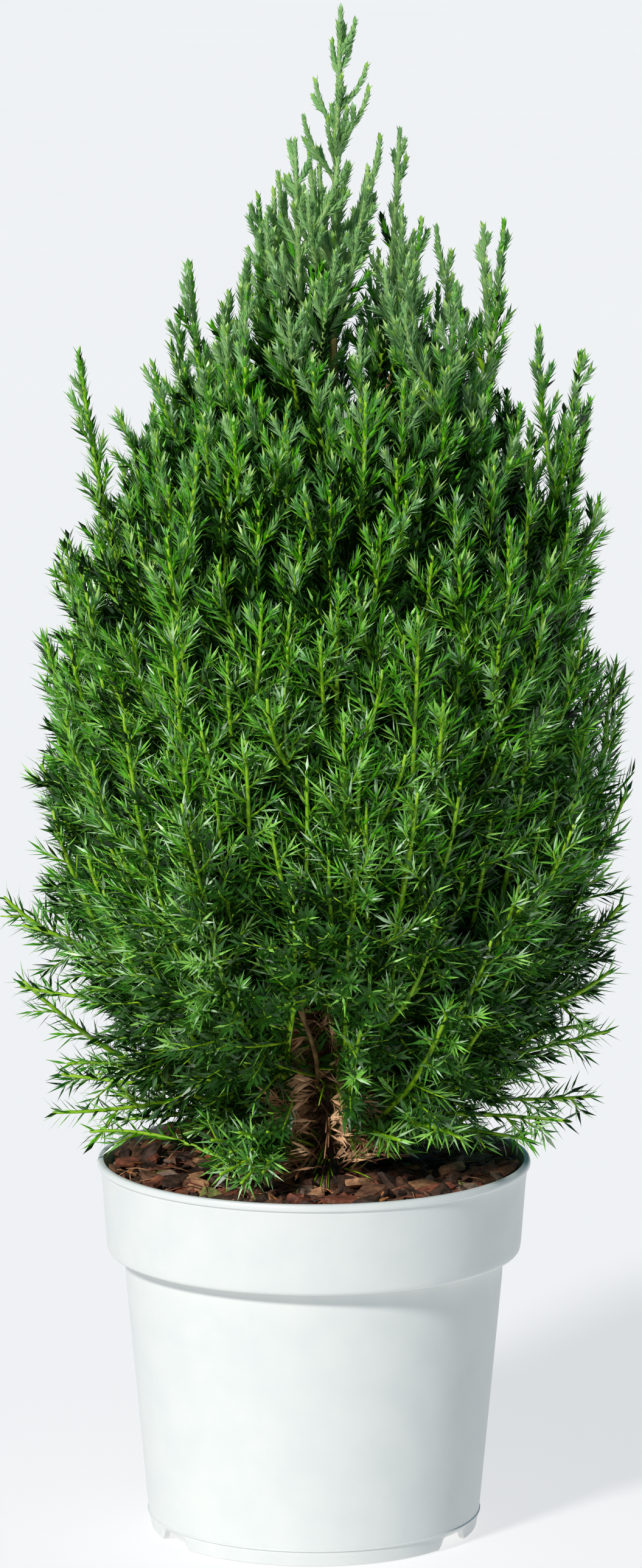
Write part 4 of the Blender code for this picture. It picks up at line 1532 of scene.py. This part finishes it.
@dataclass
class Shoots:
    """Many bent shoots at once.

    Formula: the point at share t of a shoot is root + length * (ahead * t + bend * t^2).
    """

    root: Array
    ahead: Array
    bend: Array
    length: Array
    radius: Array
    youth: Array
    tone: Array

    def point(self, which: Array, share: Array) -> Array:
        """Points on shoots.

        Args:
            which: The shoots' numbers.
            share: Shares of their length.

        Returns:
            The points.
        """
        t = share[..., None]
        way = self.ahead[which] * t + self.bend[which] * t**2
        return self.root[which] + self.length[which][..., None] * way

    def heading(self, which: Array, share: Array) -> Array:
        """Directions of the chosen shoots at these shares of their length."""
        return unit(self.ahead[which] + 2 * self.bend[which] * share[..., None])

    def keep(self, which: Array) -> "Shoots":
        """The chosen shoots only."""
        return Shoots(*(getattr(self, name)[which] for name in self.__dataclass_fields__))

    @staticmethod
    def joined(groups: list["Shoots"]) -> "Shoots":
        """Several sets of shoots as one."""
        names = Shoots.__dataclass_fields__
        return Shoots(*(np.concatenate([getattr(group, name) for group in groups]) for name in names))


@dataclass
class Needles:
    """Whorls of three needles, gathered from many shoots, and made into meshes by tone."""

    habit: Habit
    rng: np.random.Generator
    whorls: list[tuple[Array, ...]] = field(default_factory=list)
    in_whorl: int = 3
    shade_width: float = 1.6
    shade_spacing: float = 1.4
    foot_offset: float = 0.0002
    outline_margin: float = 0.006

    def clothe(
        self,
        base: Array,
        ahead: Array,
        turn: Array,
        tip_share: Array,
        youth: Array,
        tone: Array,
        angles: tuple[float, ...],
    ) -> None:
        """Adds whorls of three needles.

        Args:
            base: Points on the stem's centre line.
            ahead: The stem's directions there.
            turn: Where round the stem the first needle stands.
            tip_share: 0 along the stem and 1 at its tip, where needles close up and are a little shorter.
            youth: The measure of youth.
            tone: The tone's number.
            angles: The habit's trait that says how far the needles stand off.
        """
        base, ahead, tip_share, youth, tone = (
            np.repeat(values, self.in_whorl, axis=0) for values in (base, ahead, tip_share, youth, tone)
        )
        spread = np.arange(self.in_whorl) * 2 * math.pi / self.in_whorl
        turn = np.repeat(turn, self.in_whorl) + np.tile(spread, len(turn))
        count = len(turn)
        turn = turn + self.rng.normal(0, 0.16, count)
        tone = self.mixed(tone, youth, tip_share)
        angle = np.radians(self.habit.at(youth, angles)) * (1 - (0.36 - 0.20 * youth) * tip_share)
        angle = angle * self.rng.uniform(0.85, 1.15, count)
        length = self.habit.at(youth, self.habit.needle_length) * (1 - 0.12 * tip_share)
        length = length * self.rng.uniform(0.84, 1.14, count)
        width = self.habit.at(youth, self.habit.needle_width) * self.rng.uniform(0.88, 1.12, count)
        width = width * np.where(tone == Tone.SHADE.value, self.shade_width, 1.0)
        self.whorls.append((base, ahead, turn, angle, length, width, tone))

    def mixed(self, tone: Array, youth: Array, tip_share: Array) -> Array:
        """Each needle's tone: mostly its spray's, sometimes a pale waxy one with a painted highlight or a
        dark one with painted shade, and yellower at young tips.

        Args:
            tone: The spray's tone.
            youth: The measure of youth.
            tip_share: 0 along the stem and 1 at its tip.

        Returns:
            The tones' numbers.
        """
        luck = self.rng.uniform(0, 1, len(tone))
        pale = np.interp(youth, (0.0, 0.15, 0.35, 0.60), (0.10, 0.14, 0.22, 0.14))
        mixed = tone.copy()
        green = np.isin(tone, (Tone.FRESH.value, Tone.DEEP.value))
        silver = tone == Tone.SILVER.value
        young_tip = (silver | (tone == Tone.BLOOM.value)) & (tip_share > 0.72)
        # Some green needles become pale with a painted highlight, some near-black with painted shade.
        mixed[green & (luck < pale)] = Tone.GLINT.value
        mixed[green & (luck > 0.84)] = Tone.SHADE.value
        mixed[(tone == Tone.SHADE.value) & (luck < 0.5 * pale)] = Tone.FRESH.value
        mixed[silver & (luck < 0.16)] = Tone.BLOOM.value
        mixed[silver & (luck > 0.84)] = Tone.FRESH.value
        mixed[young_tip & (luck < 0.55)] = Tone.TIP.value
        return mixed

    def clothe_shoots(self, shoots: Shoots) -> None:
        """Adds whorls all along the shoots, closer towards the tip, and each a sixth of a turn from the last.

        Formula: whorl i of n is at the share 1 - (1 - (i + 0.55) / n)^1.3 of the shoot's length.

        Args:
            shoots: The shoots.
        """
        spacing = self.habit.at(shoots.youth, self.habit.shoot_whorls)
        spacing = spacing * np.where(shoots.tone == Tone.SHADE.value, self.shade_spacing, 1.0)
        counts = np.maximum(3, np.round(shoots.length / spacing)).astype(int)
        which, order = dealt(counts)
        share = 1 - (1 - (order + 0.55) / counts[which]) ** 1.3
        turn = self.rng.uniform(0, 2 * math.pi, len(counts))[which] + order * math.pi / 3
        tip_share = np.clip((share - 0.45) / 0.55, 0.0, 1.0)
        tone = shoots.tone[which].copy()
        inner = (share < 0.45) & (tone == Tone.SILVER.value)
        tone[inner] = Tone.FRESH.value
        base = shoots.point(which, share)
        ahead = shoots.heading(which, share)
        self.clothe(base, ahead, turn, tip_share, shoots.youth[which], tone, self.habit.shoot_angle)

    def corners(self, whorls: tuple[Array, ...]) -> Array:
        """The four corners of every needle: root, left edge, right edge and tip.

        Formula: with a the angle to the stem's direction T and R the direction outwards at the turn, the
        needle runs along N = cos(a) T + sin(a) R, its width along S = T x R and its inner side faces N x S.
        The edges are at 0.36 of the length, and up to 0.52 in broad needles, half a width to each side and
        0.3 widths up, so root, tip and edges enclose a slim keeled blade of four faces.

        Args:
            whorls: Base, direction, turn, angle, length, width and tone of every needle.

        Returns:
            Corners, n by 4 by 3.
        """
        base, ahead, turn, angle, length, width, _ = whorls
        outward = leaning(*square_to(ahead, NEEDLE_GUIDE), turn)
        across = np.cross(ahead, outward)
        along = leaning(ahead, outward, angle)
        inner = np.cross(along, across)
        root = base + outward * self.foot_offset
        broadest = np.clip(0.30 + 0.6 * width / length, 0.36, 0.52) * length
        middle = root + along * broadest[:, None] + inner * (0.30 * width)[:, None]
        side = across * (width / 2)[:, None]
        tip = root + along * length[:, None] + inner * (0.05 * length)[:, None]
        return np.stack([root, middle - side, middle + side, tip], axis=1)

    def build(self, crown: Crown, share: int) -> None:
        """Makes the meshes: each tone's needles in one or more, with at most that many in a mesh.

        Args:
            crown: The crown, whose reach no needle's tip may pass.
            share: How many needles a mesh may have.
        """
        whorls = tuple(np.concatenate(part) for part in zip(*self.whorls))
        corners = self.corners(whorls)
        fits = crown.inside(corners[:, 3], self.outline_margin)
        corners, tone = corners[fits], whorls[-1][fits]
        LOG.info("needles: %d", len(corners))
        for finish in NEEDLE_FINISHES:
            chosen = corners[tone == finish.tone.value]
            parts = max(1, math.ceil(len(chosen) / share))
            for number, part in enumerate(np.array_split(chosen, parts)):
                first = 4 * np.arange(len(part))[:, None, None]
                faces = (np.array([[0, 3, 1], [0, 2, 3], [0, 1, 2], [3, 2, 1]]) + first).reshape(-1, 3)
                slots = np.tile([0, 0, 1, 1], len(part))
                name = f"needles_{finish.tone.name.lower()}_{number + 1}"
                piece = new_piece(name, part.reshape(-1, 3), [faces], finish.materials(), slots, smooth=False)
                dress(piece, [])


@dataclass
class Foliage:
    """Shoots and twigs on every leader, the stems that carry them, and their needles."""

    crown: Crown
    habit: Habit = field(default_factory=Habit)
    seed: int = 29
    bare_share: float = 0.16
    fine_bare_share: float = 0.10
    tip_bare: float = 0.0085
    top_tip_bare: float = 0.012
    top_spacing: float = 1.25
    shoot_radius: float = 0.0007
    twig_radius: float = 0.0005
    inner_count: int = 620
    inner_radius: float = 0.0008
    dead_count: int = 460
    dead_radius: float = 0.0006
    longest_withered: float = 0.026
    cuts: tuple[float, ...] = (0.85, 0.75, 0.66, 0.6)
    outline_margin: float = 0.001
    shortest_shoot: float = 0.004
    stem_rings: int = 20
    stem_sides: int = 5
    stem_tip_radius: float = 0.00070
    woody_radius: float = 0.00142
    woody_depth: float = 0.045
    needle_share: int = 46000
    pale_from: float = 0.72
    pale_height: float = 0.515

    def youth(self, points: Array, to_tip: Array, rng: np.random.Generator) -> Array:
        """The measure of youth: more with height and near a leader's tip, less deep inside the crown.

        Args:
            points: Places in the crown.
            to_tip: How far each is from its leader's tip.
            rng: Where the jitter comes from.

        Returns:
            Values from 0 to 1.
        """
        high = (points[:, 2] - TRUNK_FOOT) / (LEADER_TIP_HEIGHT - TRUNK_FOOT)
        depth = self.crown.depth(points)
        fresh = 0.19 * np.exp(-to_tip / 0.026) * np.clip(high * 2.2, 0.2, 1.0)
        hidden = 1.2 * np.clip(depth, 0, 0.06) * np.clip(1.3 - 1.5 * high, 0, 1)
        return np.clip(high * 1.02 + fresh - hidden + rng.normal(0, 0.02, len(high)), 0, 1)

    def tones(self, youth: Array, depth: Array, height: Array, rng: np.random.Generator) -> Array:
        """A tone for each spray, by its youth and depth, with some dealt out at random; deep sprays take the
        painted shade.

        Args:
            youth: The measure of youth.
            depth: How deep inside the crown the spray lies.
            height: Its height.
            rng: Where the luck comes from.

        Returns:
            The tones' numbers.
        """
        luck = rng.uniform(0, 1, len(youth))
        level = youth + rng.normal(0, 0.05, len(youth))
        depth = np.minimum(depth, 1.2 * (height - 0.178))
        tone = np.where((level < 0.36) & (luck < 0.70), Tone.DEEP.value, Tone.FRESH.value)
        tone[(level > 0.60) & (luck < 0.85)] = Tone.SILVER.value
        tone[level > 0.77] = Tone.BLOOM.value
        # Deeper than this, sprays take the near-black painted shade.
        shaded = np.interp(height, (0.30, 0.36, 0.49, 0.54), (0.008, 0.016, 0.017, 0.036)) + 0.018 * luck
        tone[(depth > shaded) & (level < 0.66)] = Tone.SHADE.value
        low = height < 0.235
        tone[(depth > 0.040) & (luck < 0.14) & low] = Tone.OLIVE.value
        tone[(depth > 0.045) & (luck < 0.07) & low] = Tone.WITHERED.value
        return tone

    def shoot_places(self, leader: Leader, rng: np.random.Generator) -> Array:
        """Where a leader has shoots: at even spaces with some jitter, beyond its bare foot.

        Args:
            leader: The leader.
            rng: Where the jitter comes from.

        Returns:
            Distances from the leader's root.
        """
        run = leader.run()
        middle = leader.points[len(leader.points) // 2][None]
        spacing = self.habit.at(self.youth(middle, np.array([run / 2]), rng), self.habit.shoot_spacing)[0]
        bare = (self.fine_bare_share if leader.fine else self.bare_share) * run
        tip_bare, wider = self.tip_bare, 1.0
        if leader.fine and leader.mass == "leader":
            tip_bare, wider = self.top_tip_bare, self.top_spacing
        place = np.arange(bare, run - tip_bare, spacing * wider)
        place = place + rng.uniform(-0.25, 0.25, len(place)) * spacing
        return np.clip(place, 0.001, run - 0.002)

    def shoot_rings(self, root: Array, ahead: Array, youth: Array, rng: np.random.Generator) -> Array:
        """The sides to which shoots lean off their leader.

        Formula: shoots stand 45 to 125 degrees from the outward direction, to the left and right by turns,
        and a share of 0.42 low down to 0.14 high up stands within 30 degrees of it.

        Args:
            root: The shoots' places.
            ahead: The leader's directions there.
            youth: The measure of youth.
            rng: Where the angles come from.

        Returns:
            Directions square to the leader, n by 3.
        """
        count = len(root)
        outward = unit((root - np.array([TRUNK_FOOT_X, 0.0, 0.0])) * LEVEL + HAIR)
        level, other = square_to(ahead)
        facing = np.arctan2((outward * other).sum(axis=1), (outward * level).sum(axis=1))
        aside = np.where(np.arange(count) % 2 == 0, 1, -1) * rng.uniform(45.0, 125.0, count)
        outwards = rng.uniform(0, 1, count) < np.interp(youth, (0.10, 0.45), (0.42, 0.14))
        aside = np.where(outwards, rng.uniform(-30.0, 30.0, count), aside)
        return leaning(level, other, facing + np.radians(aside))

    def grown_share(self, root: Array, depth: Array) -> Array:
        """The chance that a shoot grows: less deep inside, near the mulch, and low on the left.

        Args:
            root: The shoots' places.
            depth: How deep inside the crown they lie.

        Returns:
            Chances from 0 to 1.
        """
        share = np.clip(1.25 - np.clip(depth, 0, None) / 0.070, 0.60, 1.0)
        share = share * np.interp(root[:, 2], (0.19, 0.26), (0.62, 1.0))
        return share * np.where((root[:, 0] < -0.078) & (root[:, 2] < 0.250), 0.6, 1.0)

    def shoots_of(self, leader: Leader, rng: np.random.Generator) -> Shoots:
        """The side shoots of one leader, shorter and steeper towards its tip.

        Formula: a shoot is as long as the habit says, 0.85 times that on a finer leader, up to twice that
        deep inside the crown, and down to 0.74 times where it stands out of the dense surface, but at most
        5.5 mm plus 0.3 of the way to the leader's tip. The length is then jittered, and a withered shoot is
        cut to 26 mm.

        Args:
            leader: The leader.
            rng: Where the jitter comes from.

        Returns:
            The shoots.
        """
        place = self.shoot_places(leader, rng)
        count = len(place)
        root, ahead = leader.at(place)
        to_tip = leader.run() - place
        youth = self.youth(root, to_tip, rng)
        depth = self.crown.depth(root)
        ring = self.shoot_rings(root, ahead, youth, rng)
        lean = np.radians(self.habit.at(youth, self.habit.shoot_lean)) * rng.uniform(0.85, 1.15, count)
        along = leaning(ahead, ring, lean)
        longest = self.habit.at(youth, self.habit.shoot_length) * (0.85 if leader.fine else 1.0)
        longest = longest * (1 + np.clip(depth - 0.012, 0, 0.030) / 0.030)
        longest = longest * np.interp(depth, (-0.020, -0.006), (0.74, 1.0))
        length = np.minimum(longest, 0.0055 + 0.30 * to_tip) * rng.uniform(0.65, 1.25, count)
        bend = (UP - along * along[:, 2:]) * (0.10 + 0.16 * youth)[:, None]
        grown = rng.uniform(0, 1, count) < self.grown_share(root, depth)
        tone = self.tones(youth, depth, root[:, 2], rng)
        short = np.minimum(length, self.longest_withered)
        length = np.where(tone == Tone.WITHERED.value, short, length)
        radius = np.full(count, self.shoot_radius)
        return Shoots(root, along, bend, length, radius, youth, tone).keep(grown)

    def fits(self, shoots: Shoots) -> Array:
        """Whether each shoot's tip, and its point at 0.6 of the length, lie within the crown's reach.

        Args:
            shoots: The shoots.

        Returns:
            One truth value for each shoot.
        """
        every = np.arange(len(shoots.length))
        tips = shoots.point(every, np.ones(len(every)))
        middles = shoots.point(every, np.full(len(every), 0.6))
        return self.crown.inside(tips, self.outline_margin) & self.crown.inside(middles, self.outline_margin)

    def fitted(self, shoots: Shoots) -> Shoots:
        """Shoots cut to the crown's reach: those that pass it are tried shorter, and then left out.

        Args:
            shoots: The shoots, which get shorter.

        Returns:
            Those that fit.
        """
        for cut in self.cuts:
            shoots.length[~self.fits(shoots)] *= cut
        return shoots.keep(self.fits(shoots) & (shoots.length > self.shortest_shoot))

    def twigs_of(self, shoots: Shoots, rng: np.random.Generator) -> Shoots:
        """Short twigs on every longer shoot, leaning off it to all sides, each a golden angle from the last.

        Args:
            shoots: The shoots.
            rng: Where the jitter comes from.

        Returns:
            The twigs.
        """
        bare = np.interp(shoots.youth, (0.35, 0.65), (0.020, 0.0100))
        apart = np.interp(shoots.youth, (0.35, 0.65), (0.0110, 0.0065))
        counts = np.maximum(0, np.floor((shoots.length - bare) / apart)).astype(int)
        which, order = dealt(counts)
        share = 0.22 + 0.60 * (order + 0.5) / counts[which]
        root = shoots.point(which, share)
        ahead = shoots.heading(which, share)
        turn = order * GOLDEN_ANGLE + rng.uniform(0, ABOUT_A_TURN, len(counts))[which]
        ring = leaning(*square_to(ahead), turn)
        lean = np.radians(self.habit.at(shoots.youth[which], self.habit.shoot_lean) * 0.9)
        lean = lean * rng.uniform(0.85, 1.15, len(which))
        along = leaning(ahead, ring, lean)
        length = 0.0045 + 0.40 * shoots.length[which] * (1 - share)
        length = np.minimum(length, 0.015) * rng.uniform(0.8, 1.15, len(which))
        bend = (UP - along * along[:, 2:]) * 0.14
        radius = np.full(len(which), self.twig_radius)
        youth = np.clip(shoots.youth[which] + 0.04, 0, 1)
        return Shoots(root, along, bend, length, radius, youth, shoots.tone[which])

    def inner_shoots(self, rng: np.random.Generator) -> Shoots:
        """Long shoots from the trunk to all sides, dark with painted shade, which close the view through the
        crown.

        Args:
            rng: Where their lengths and slopes come from.

        Returns:
            The shoots.
        """
        count = self.inner_count
        height = np.linspace(0.215, 0.450, count)
        root = np.array([trunk_point(h) for h in height])
        azimuth = np.arange(count) * GOLDEN_ANGLE
        rise = rng.uniform(0.25, 1.30, count)
        ahead = unit(np.stack([np.cos(azimuth), np.sin(azimuth), rise], axis=1))
        room = self.crown.surface(height + 0.02, azimuth) - 0.018
        length = np.minimum(rng.uniform(0.035, 0.075, count), np.maximum(room, 0.012))
        spare = np.clip(room - length - 0.01, 0, 0.03)[:, None]
        root = root + ahead * spare * rng.uniform(0, 1, count)[:, None]
        bend = np.tile(0.15 * UP, (count, 1))
        radius = np.full(count, self.inner_radius)
        # All of them in the near-black painted shade.
        tone = np.full(count, Tone.SHADE.value)
        return Shoots(root, ahead, bend, length, radius, np.full(count, 0.3), tone)

    def dead_twigs(self, rng: np.random.Generator) -> Shoots:
        """Withered sprays round the trunk's foot, most of them in the open place in front, some hanging.

        Args:
            rng: Where their places, directions, lengths and tones come from.

        Returns:
            The sprays.
        """
        count = self.dead_count
        height = TRUNK_FOOT + 0.006 + 0.090 * rng.beta(1.0, 1.1, count)
        root = np.array([trunk_point(h) for h in height])
        front = rng.uniform(0, 1, count) < 0.80
        azimuth = np.where(front, rng.normal(-1.60, 0.95, count), rng.uniform(0, ABOUT_A_TURN, count))
        rise = rng.uniform(-0.50, 0.90, count)
        ahead = unit(np.stack([np.cos(azimuth), np.sin(azimuth), rise], axis=1))
        push = rng.uniform(0.0, 0.040, count) * front
        x, y = np.cos(azimuth) * push * 0.4, np.sin(azimuth) * push
        root = root + np.stack([x, y, np.zeros(count)], axis=1)
        bend = np.tile(-0.10 * UP, (count, 1))
        length = rng.uniform(0.009, 0.024, count)
        to_mulch = np.where(ahead[:, 2] < 0, (height - TRUNK_FOOT) / (0.12 - ahead[:, 2]), 1.0)
        length = np.minimum(length, to_mulch)
        # Most sprays take the withered straw, lightened with painted light; the rest are olive.
        tone = np.where(rng.uniform(0, 1, count) < 0.72, Tone.WITHERED.value, Tone.OLIVE.value)
        radius = np.full(count, self.dead_radius)
        return Shoots(root, ahead, bend, length, radius, np.full(count, 0.30), tone)

    def clothe_leader(self, needles: Needles, leader: Leader, rng: np.random.Generator) -> None:
        """The leader's own needles, in whorls at even spaces up to its tip.

        Args:
            needles: Where the whorls are gathered.
            leader: The leader.
            rng: Where tones and turns come from.
        """
        run = leader.run()
        bare = (0.15 if leader.fine else 0.30) * run
        near_tip = leader.points[-8:-7] if len(leader.points) > 8 else leader.points[:1]
        youth = self.youth(near_tip, np.array([0.015]), rng)[0]
        place = np.arange(bare, run, self.habit.at(youth, self.habit.leader_whorls))
        if not len(place):
            return
        base, ahead = leader.at(place)
        own = self.youth(base, run - place, rng)
        tip_share = np.clip(1 - (run - place) / 0.009, 0, 1)
        turn = np.arange(len(place)) * math.pi / 3 + rng.uniform(0, ABOUT_A_TURN)
        depth = self.crown.depth(base)
        tone = self.tones(np.full(len(place), own.mean()), depth, base[:, 2], rng)
        # Parts deep inside the crown take the painted shade, the rest the tone at the leader's tip.
        hidden = (depth > 0.022) & (base[:, 2] < 0.54)
        tone = np.where(hidden, Tone.SHADE.value, tone[-1])
        needles.clothe(base, ahead, turn, tip_share, own, tone, self.habit.leader_angle)

    def stems(self, shoots: Shoots, rings: int, sides: int, name: str) -> None:
        """The stems of many shoots as thin tubes, in one mesh.

        Args:
            shoots: The shoots.
            rings: Rings in each tube.
            sides: Corners in a ring.
            name: The piece's name.
        """
        share = np.linspace(0.0, 1.0, rings)
        which = np.repeat(np.arange(len(shoots.length))[:, None], rings, axis=1)
        paths = shoots.point(which, np.broadcast_to(share, which.shape))
        points = tube_points(paths, shoots.radius[:, None] * (1.0 - 0.55 * share), sides)
        faces = tube_faces(len(paths), rings, sides)
        pale = np.where(shoots.youth > self.pale_from, 2, 0)
        # Withered shoots get the withered stems, lightened with painted light.
        kind = np.where(shoots.tone == Tone.WITHERED.value, 1, pale)
        materials = [GREEN_STEM.material(), WITHERED_STEM_PAINTED_LIGHT.material(), PALE_STEM.material()]
        slots = tube_slots(kind, rings, sides)
        dress(new_piece(name, points.reshape(-1, 3), faces, materials, slots), [])

    def leader_stems(self) -> None:
        """All leaders as tapered tubes: brown and woody where they are thick and inside, green beyond."""
        count = len(self.crown.leaders)
        share = np.linspace(0.0, 1.0, self.stem_rings)
        paths = np.zeros((count, self.stem_rings, 3))
        radii = np.zeros((count, self.stem_rings))
        for number, leader in enumerate(self.crown.leaders):
            at = share * (len(leader.points) - 1)
            for axis in range(3):
                paths[number, :, axis] = np.interp(at, np.arange(len(leader.points)), leader.points[:, axis])
            spare = leader.radius - self.stem_tip_radius
            radii[number] = self.stem_tip_radius + spare * (1 - share) ** 0.6
        points = tube_points(paths, radii, self.stem_sides)
        faces = tube_faces(count, self.stem_rings, self.stem_sides)
        inner = self.crown.depth(paths.reshape(-1, 3)).reshape(radii.shape) > self.woody_depth
        in_window = self.crown.window(paths * (1.0, 1.0, 0.97))
        brown = ((radii > self.woody_radius) & inner) | in_window
        pale = paths[..., 2] > self.pale_height
        kind = np.where(pale, 2, brown.astype(int))[:, :-1]
        slots = np.concatenate([np.repeat(kind.ravel(), self.stem_sides), np.tile(kind[:, 0], 2)])
        slots[-count:] = 0
        materials = [GREEN_STEM.material(), BROWN_STEM.material(), PALE_STEM.material()]
        piece = new_piece("leader_stems", points.reshape(-1, 3), faces, materials, slots)
        masses = sorted({leader.mass for leader in self.crown.leaders})
        dress(piece, masses)

    def build(self) -> None:
        """Grows and makes everything on the leaders, and the sprays round the trunk."""
        rng = np.random.default_rng(self.seed)
        self.leader_stems()
        needles = Needles(self.habit, rng)
        groups = []
        for leader in self.crown.leaders:
            groups.append(self.shoots_of(leader, rng))
            self.clothe_leader(needles, leader, rng)
        shoots = self.fitted(Shoots.joined(groups))
        twigs = self.fitted(self.twigs_of(shoots, rng))
        dead = self.dead_twigs(rng)
        LOG.info("foliage: %d shoots, %d twigs", len(shoots.length), len(twigs.length))
        shoots = Shoots.joined([shoots, dead, self.fitted(self.inner_shoots(rng))])
        self.stems(shoots, 4, 3, "shoot_stems")
        self.stems(twigs, 2, 3, "twig_stems")
        needles.clothe_shoots(shoots)
        needles.clothe_shoots(twigs)
        needles.build(self.crown, self.needle_share)


@dataclass
class Studio:
    """A pale floor, soft light and the camera at the photograph's angle."""

    camera_place: tuple[float, float, float] = (0.0031, -3.0, 0.843)
    camera_pitch: float = 9.69
    camera_reach: float = 100.0
    lens: float = 161.0
    sensor: float = 36.0
    key_azimuth: float = 35.0
    key_height: float = 37.0
    key_power: float = 2.80
    key_spread: float = 8.0
    key_tint: Colour = (1.0, 0.985, 0.96)
    sky: Colour = (0.05, 0.12, 0.18)
    floor_half: float = 40.0
    floor_height: float = -0.0004
    floor_lines: int = 5
    floor_glow: float = 0.68

    def camera(self) -> None:
        """The camera, level from side to side and pitched down."""
        data = bpy.data.cameras.new("studio_camera")
        data.sensor_fit = "VERTICAL"
        data.sensor_height = self.sensor
        data.lens = self.lens
        data.clip_end = self.camera_reach
        thing = bpy.data.objects.new("studio_camera", data)
        thing.location = self.camera_place
        thing.rotation_euler = (math.radians(90.0 - self.camera_pitch), 0.0, 0.0)
        bpy.context.scene.collection.objects.link(thing)
        bpy.context.scene.camera = thing

    def key_light(self) -> None:
        """The broad soft light from far away, from the left of the camera and above it."""
        data = bpy.data.lights.new("key_light", "SUN")
        data.energy = self.key_power
        data.angle = math.radians(self.key_spread)
        data.color = self.key_tint
        thing = bpy.data.objects.new("key_light", data)
        thing.location = (0.0, 0.0, 2.0)
        thing.rotation_euler = (math.radians(90.0 - self.key_height), 0.0, math.radians(-self.key_azimuth))
        bpy.context.scene.collection.objects.link(thing)

    def floor(self) -> None:
        """A wide pale floor, a grid of a few faces."""
        side = np.linspace(-self.floor_half, self.floor_half, self.floor_lines)
        x, y = np.meshgrid(side, side, indexing="ij")
        points = np.stack([x, y, np.full_like(x, self.floor_height)], axis=-1).reshape(-1, 3)
        corner = np.arange(x.size).reshape(x.shape)
        quads = np.stack([corner[:-1, :-1], corner[1:, :-1], corner[1:, 1:], corner[:-1, 1:]], axis=-1)
        floor = new_piece("studio_floor", points, [quads.reshape(-1, 4)], [FLOOR_PAINT.material()])
        shader = FLOOR_PAINT.material().node_tree.nodes["Principled BSDF"]
        shader.inputs["Emission Color"].default_value = (1.0, 1.0, 1.0, 1.0)
        shader.inputs["Emission Strength"].default_value = self.floor_glow
        floor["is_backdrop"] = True

    def build(self) -> None:
        """Sets up the whole studio."""
        scene = bpy.context.scene
        scene.view_settings.view_transform = "Standard"
        world = bpy.data.worlds.new("studio")
        world.use_nodes = True
        background = world.node_tree.nodes["Background"]
        background.inputs["Color"].default_value = (*self.sky, 1.0)
        scene.world = world
        self.camera()
        self.floor()
        self.key_light()
        LOG.info("studio: camera, floor and a soft key light")


def dress_root_ball() -> None:
    """Gives the root ball's own solid the look of moist soil."""
    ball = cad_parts["root_ball"]
    for slot in ball.material_slots:
        slot.link = "OBJECT"
        slot.material = SOIL.material()
    LOG.info("root_ball: soil")


def write_size() -> None:
    """Updates the view layer.
    """
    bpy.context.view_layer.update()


def main() -> None:
    """Builds the studio and every sub-assembly, in order."""
    logging.basicConfig(level=logging.INFO, format="%(name)s: %(message)s")
    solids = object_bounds()
    solids = [[float(v) for v in corner] for corner in solids]
    Studio().build()
    NurseryPot().build()
    dress_root_ball()
    Mulch().build()
    crown = Crown()
    crown.plan()
    Wood(crown).build()
    Foliage(crown).build()
    write_size()


if __name__ == "__main__":
    main()
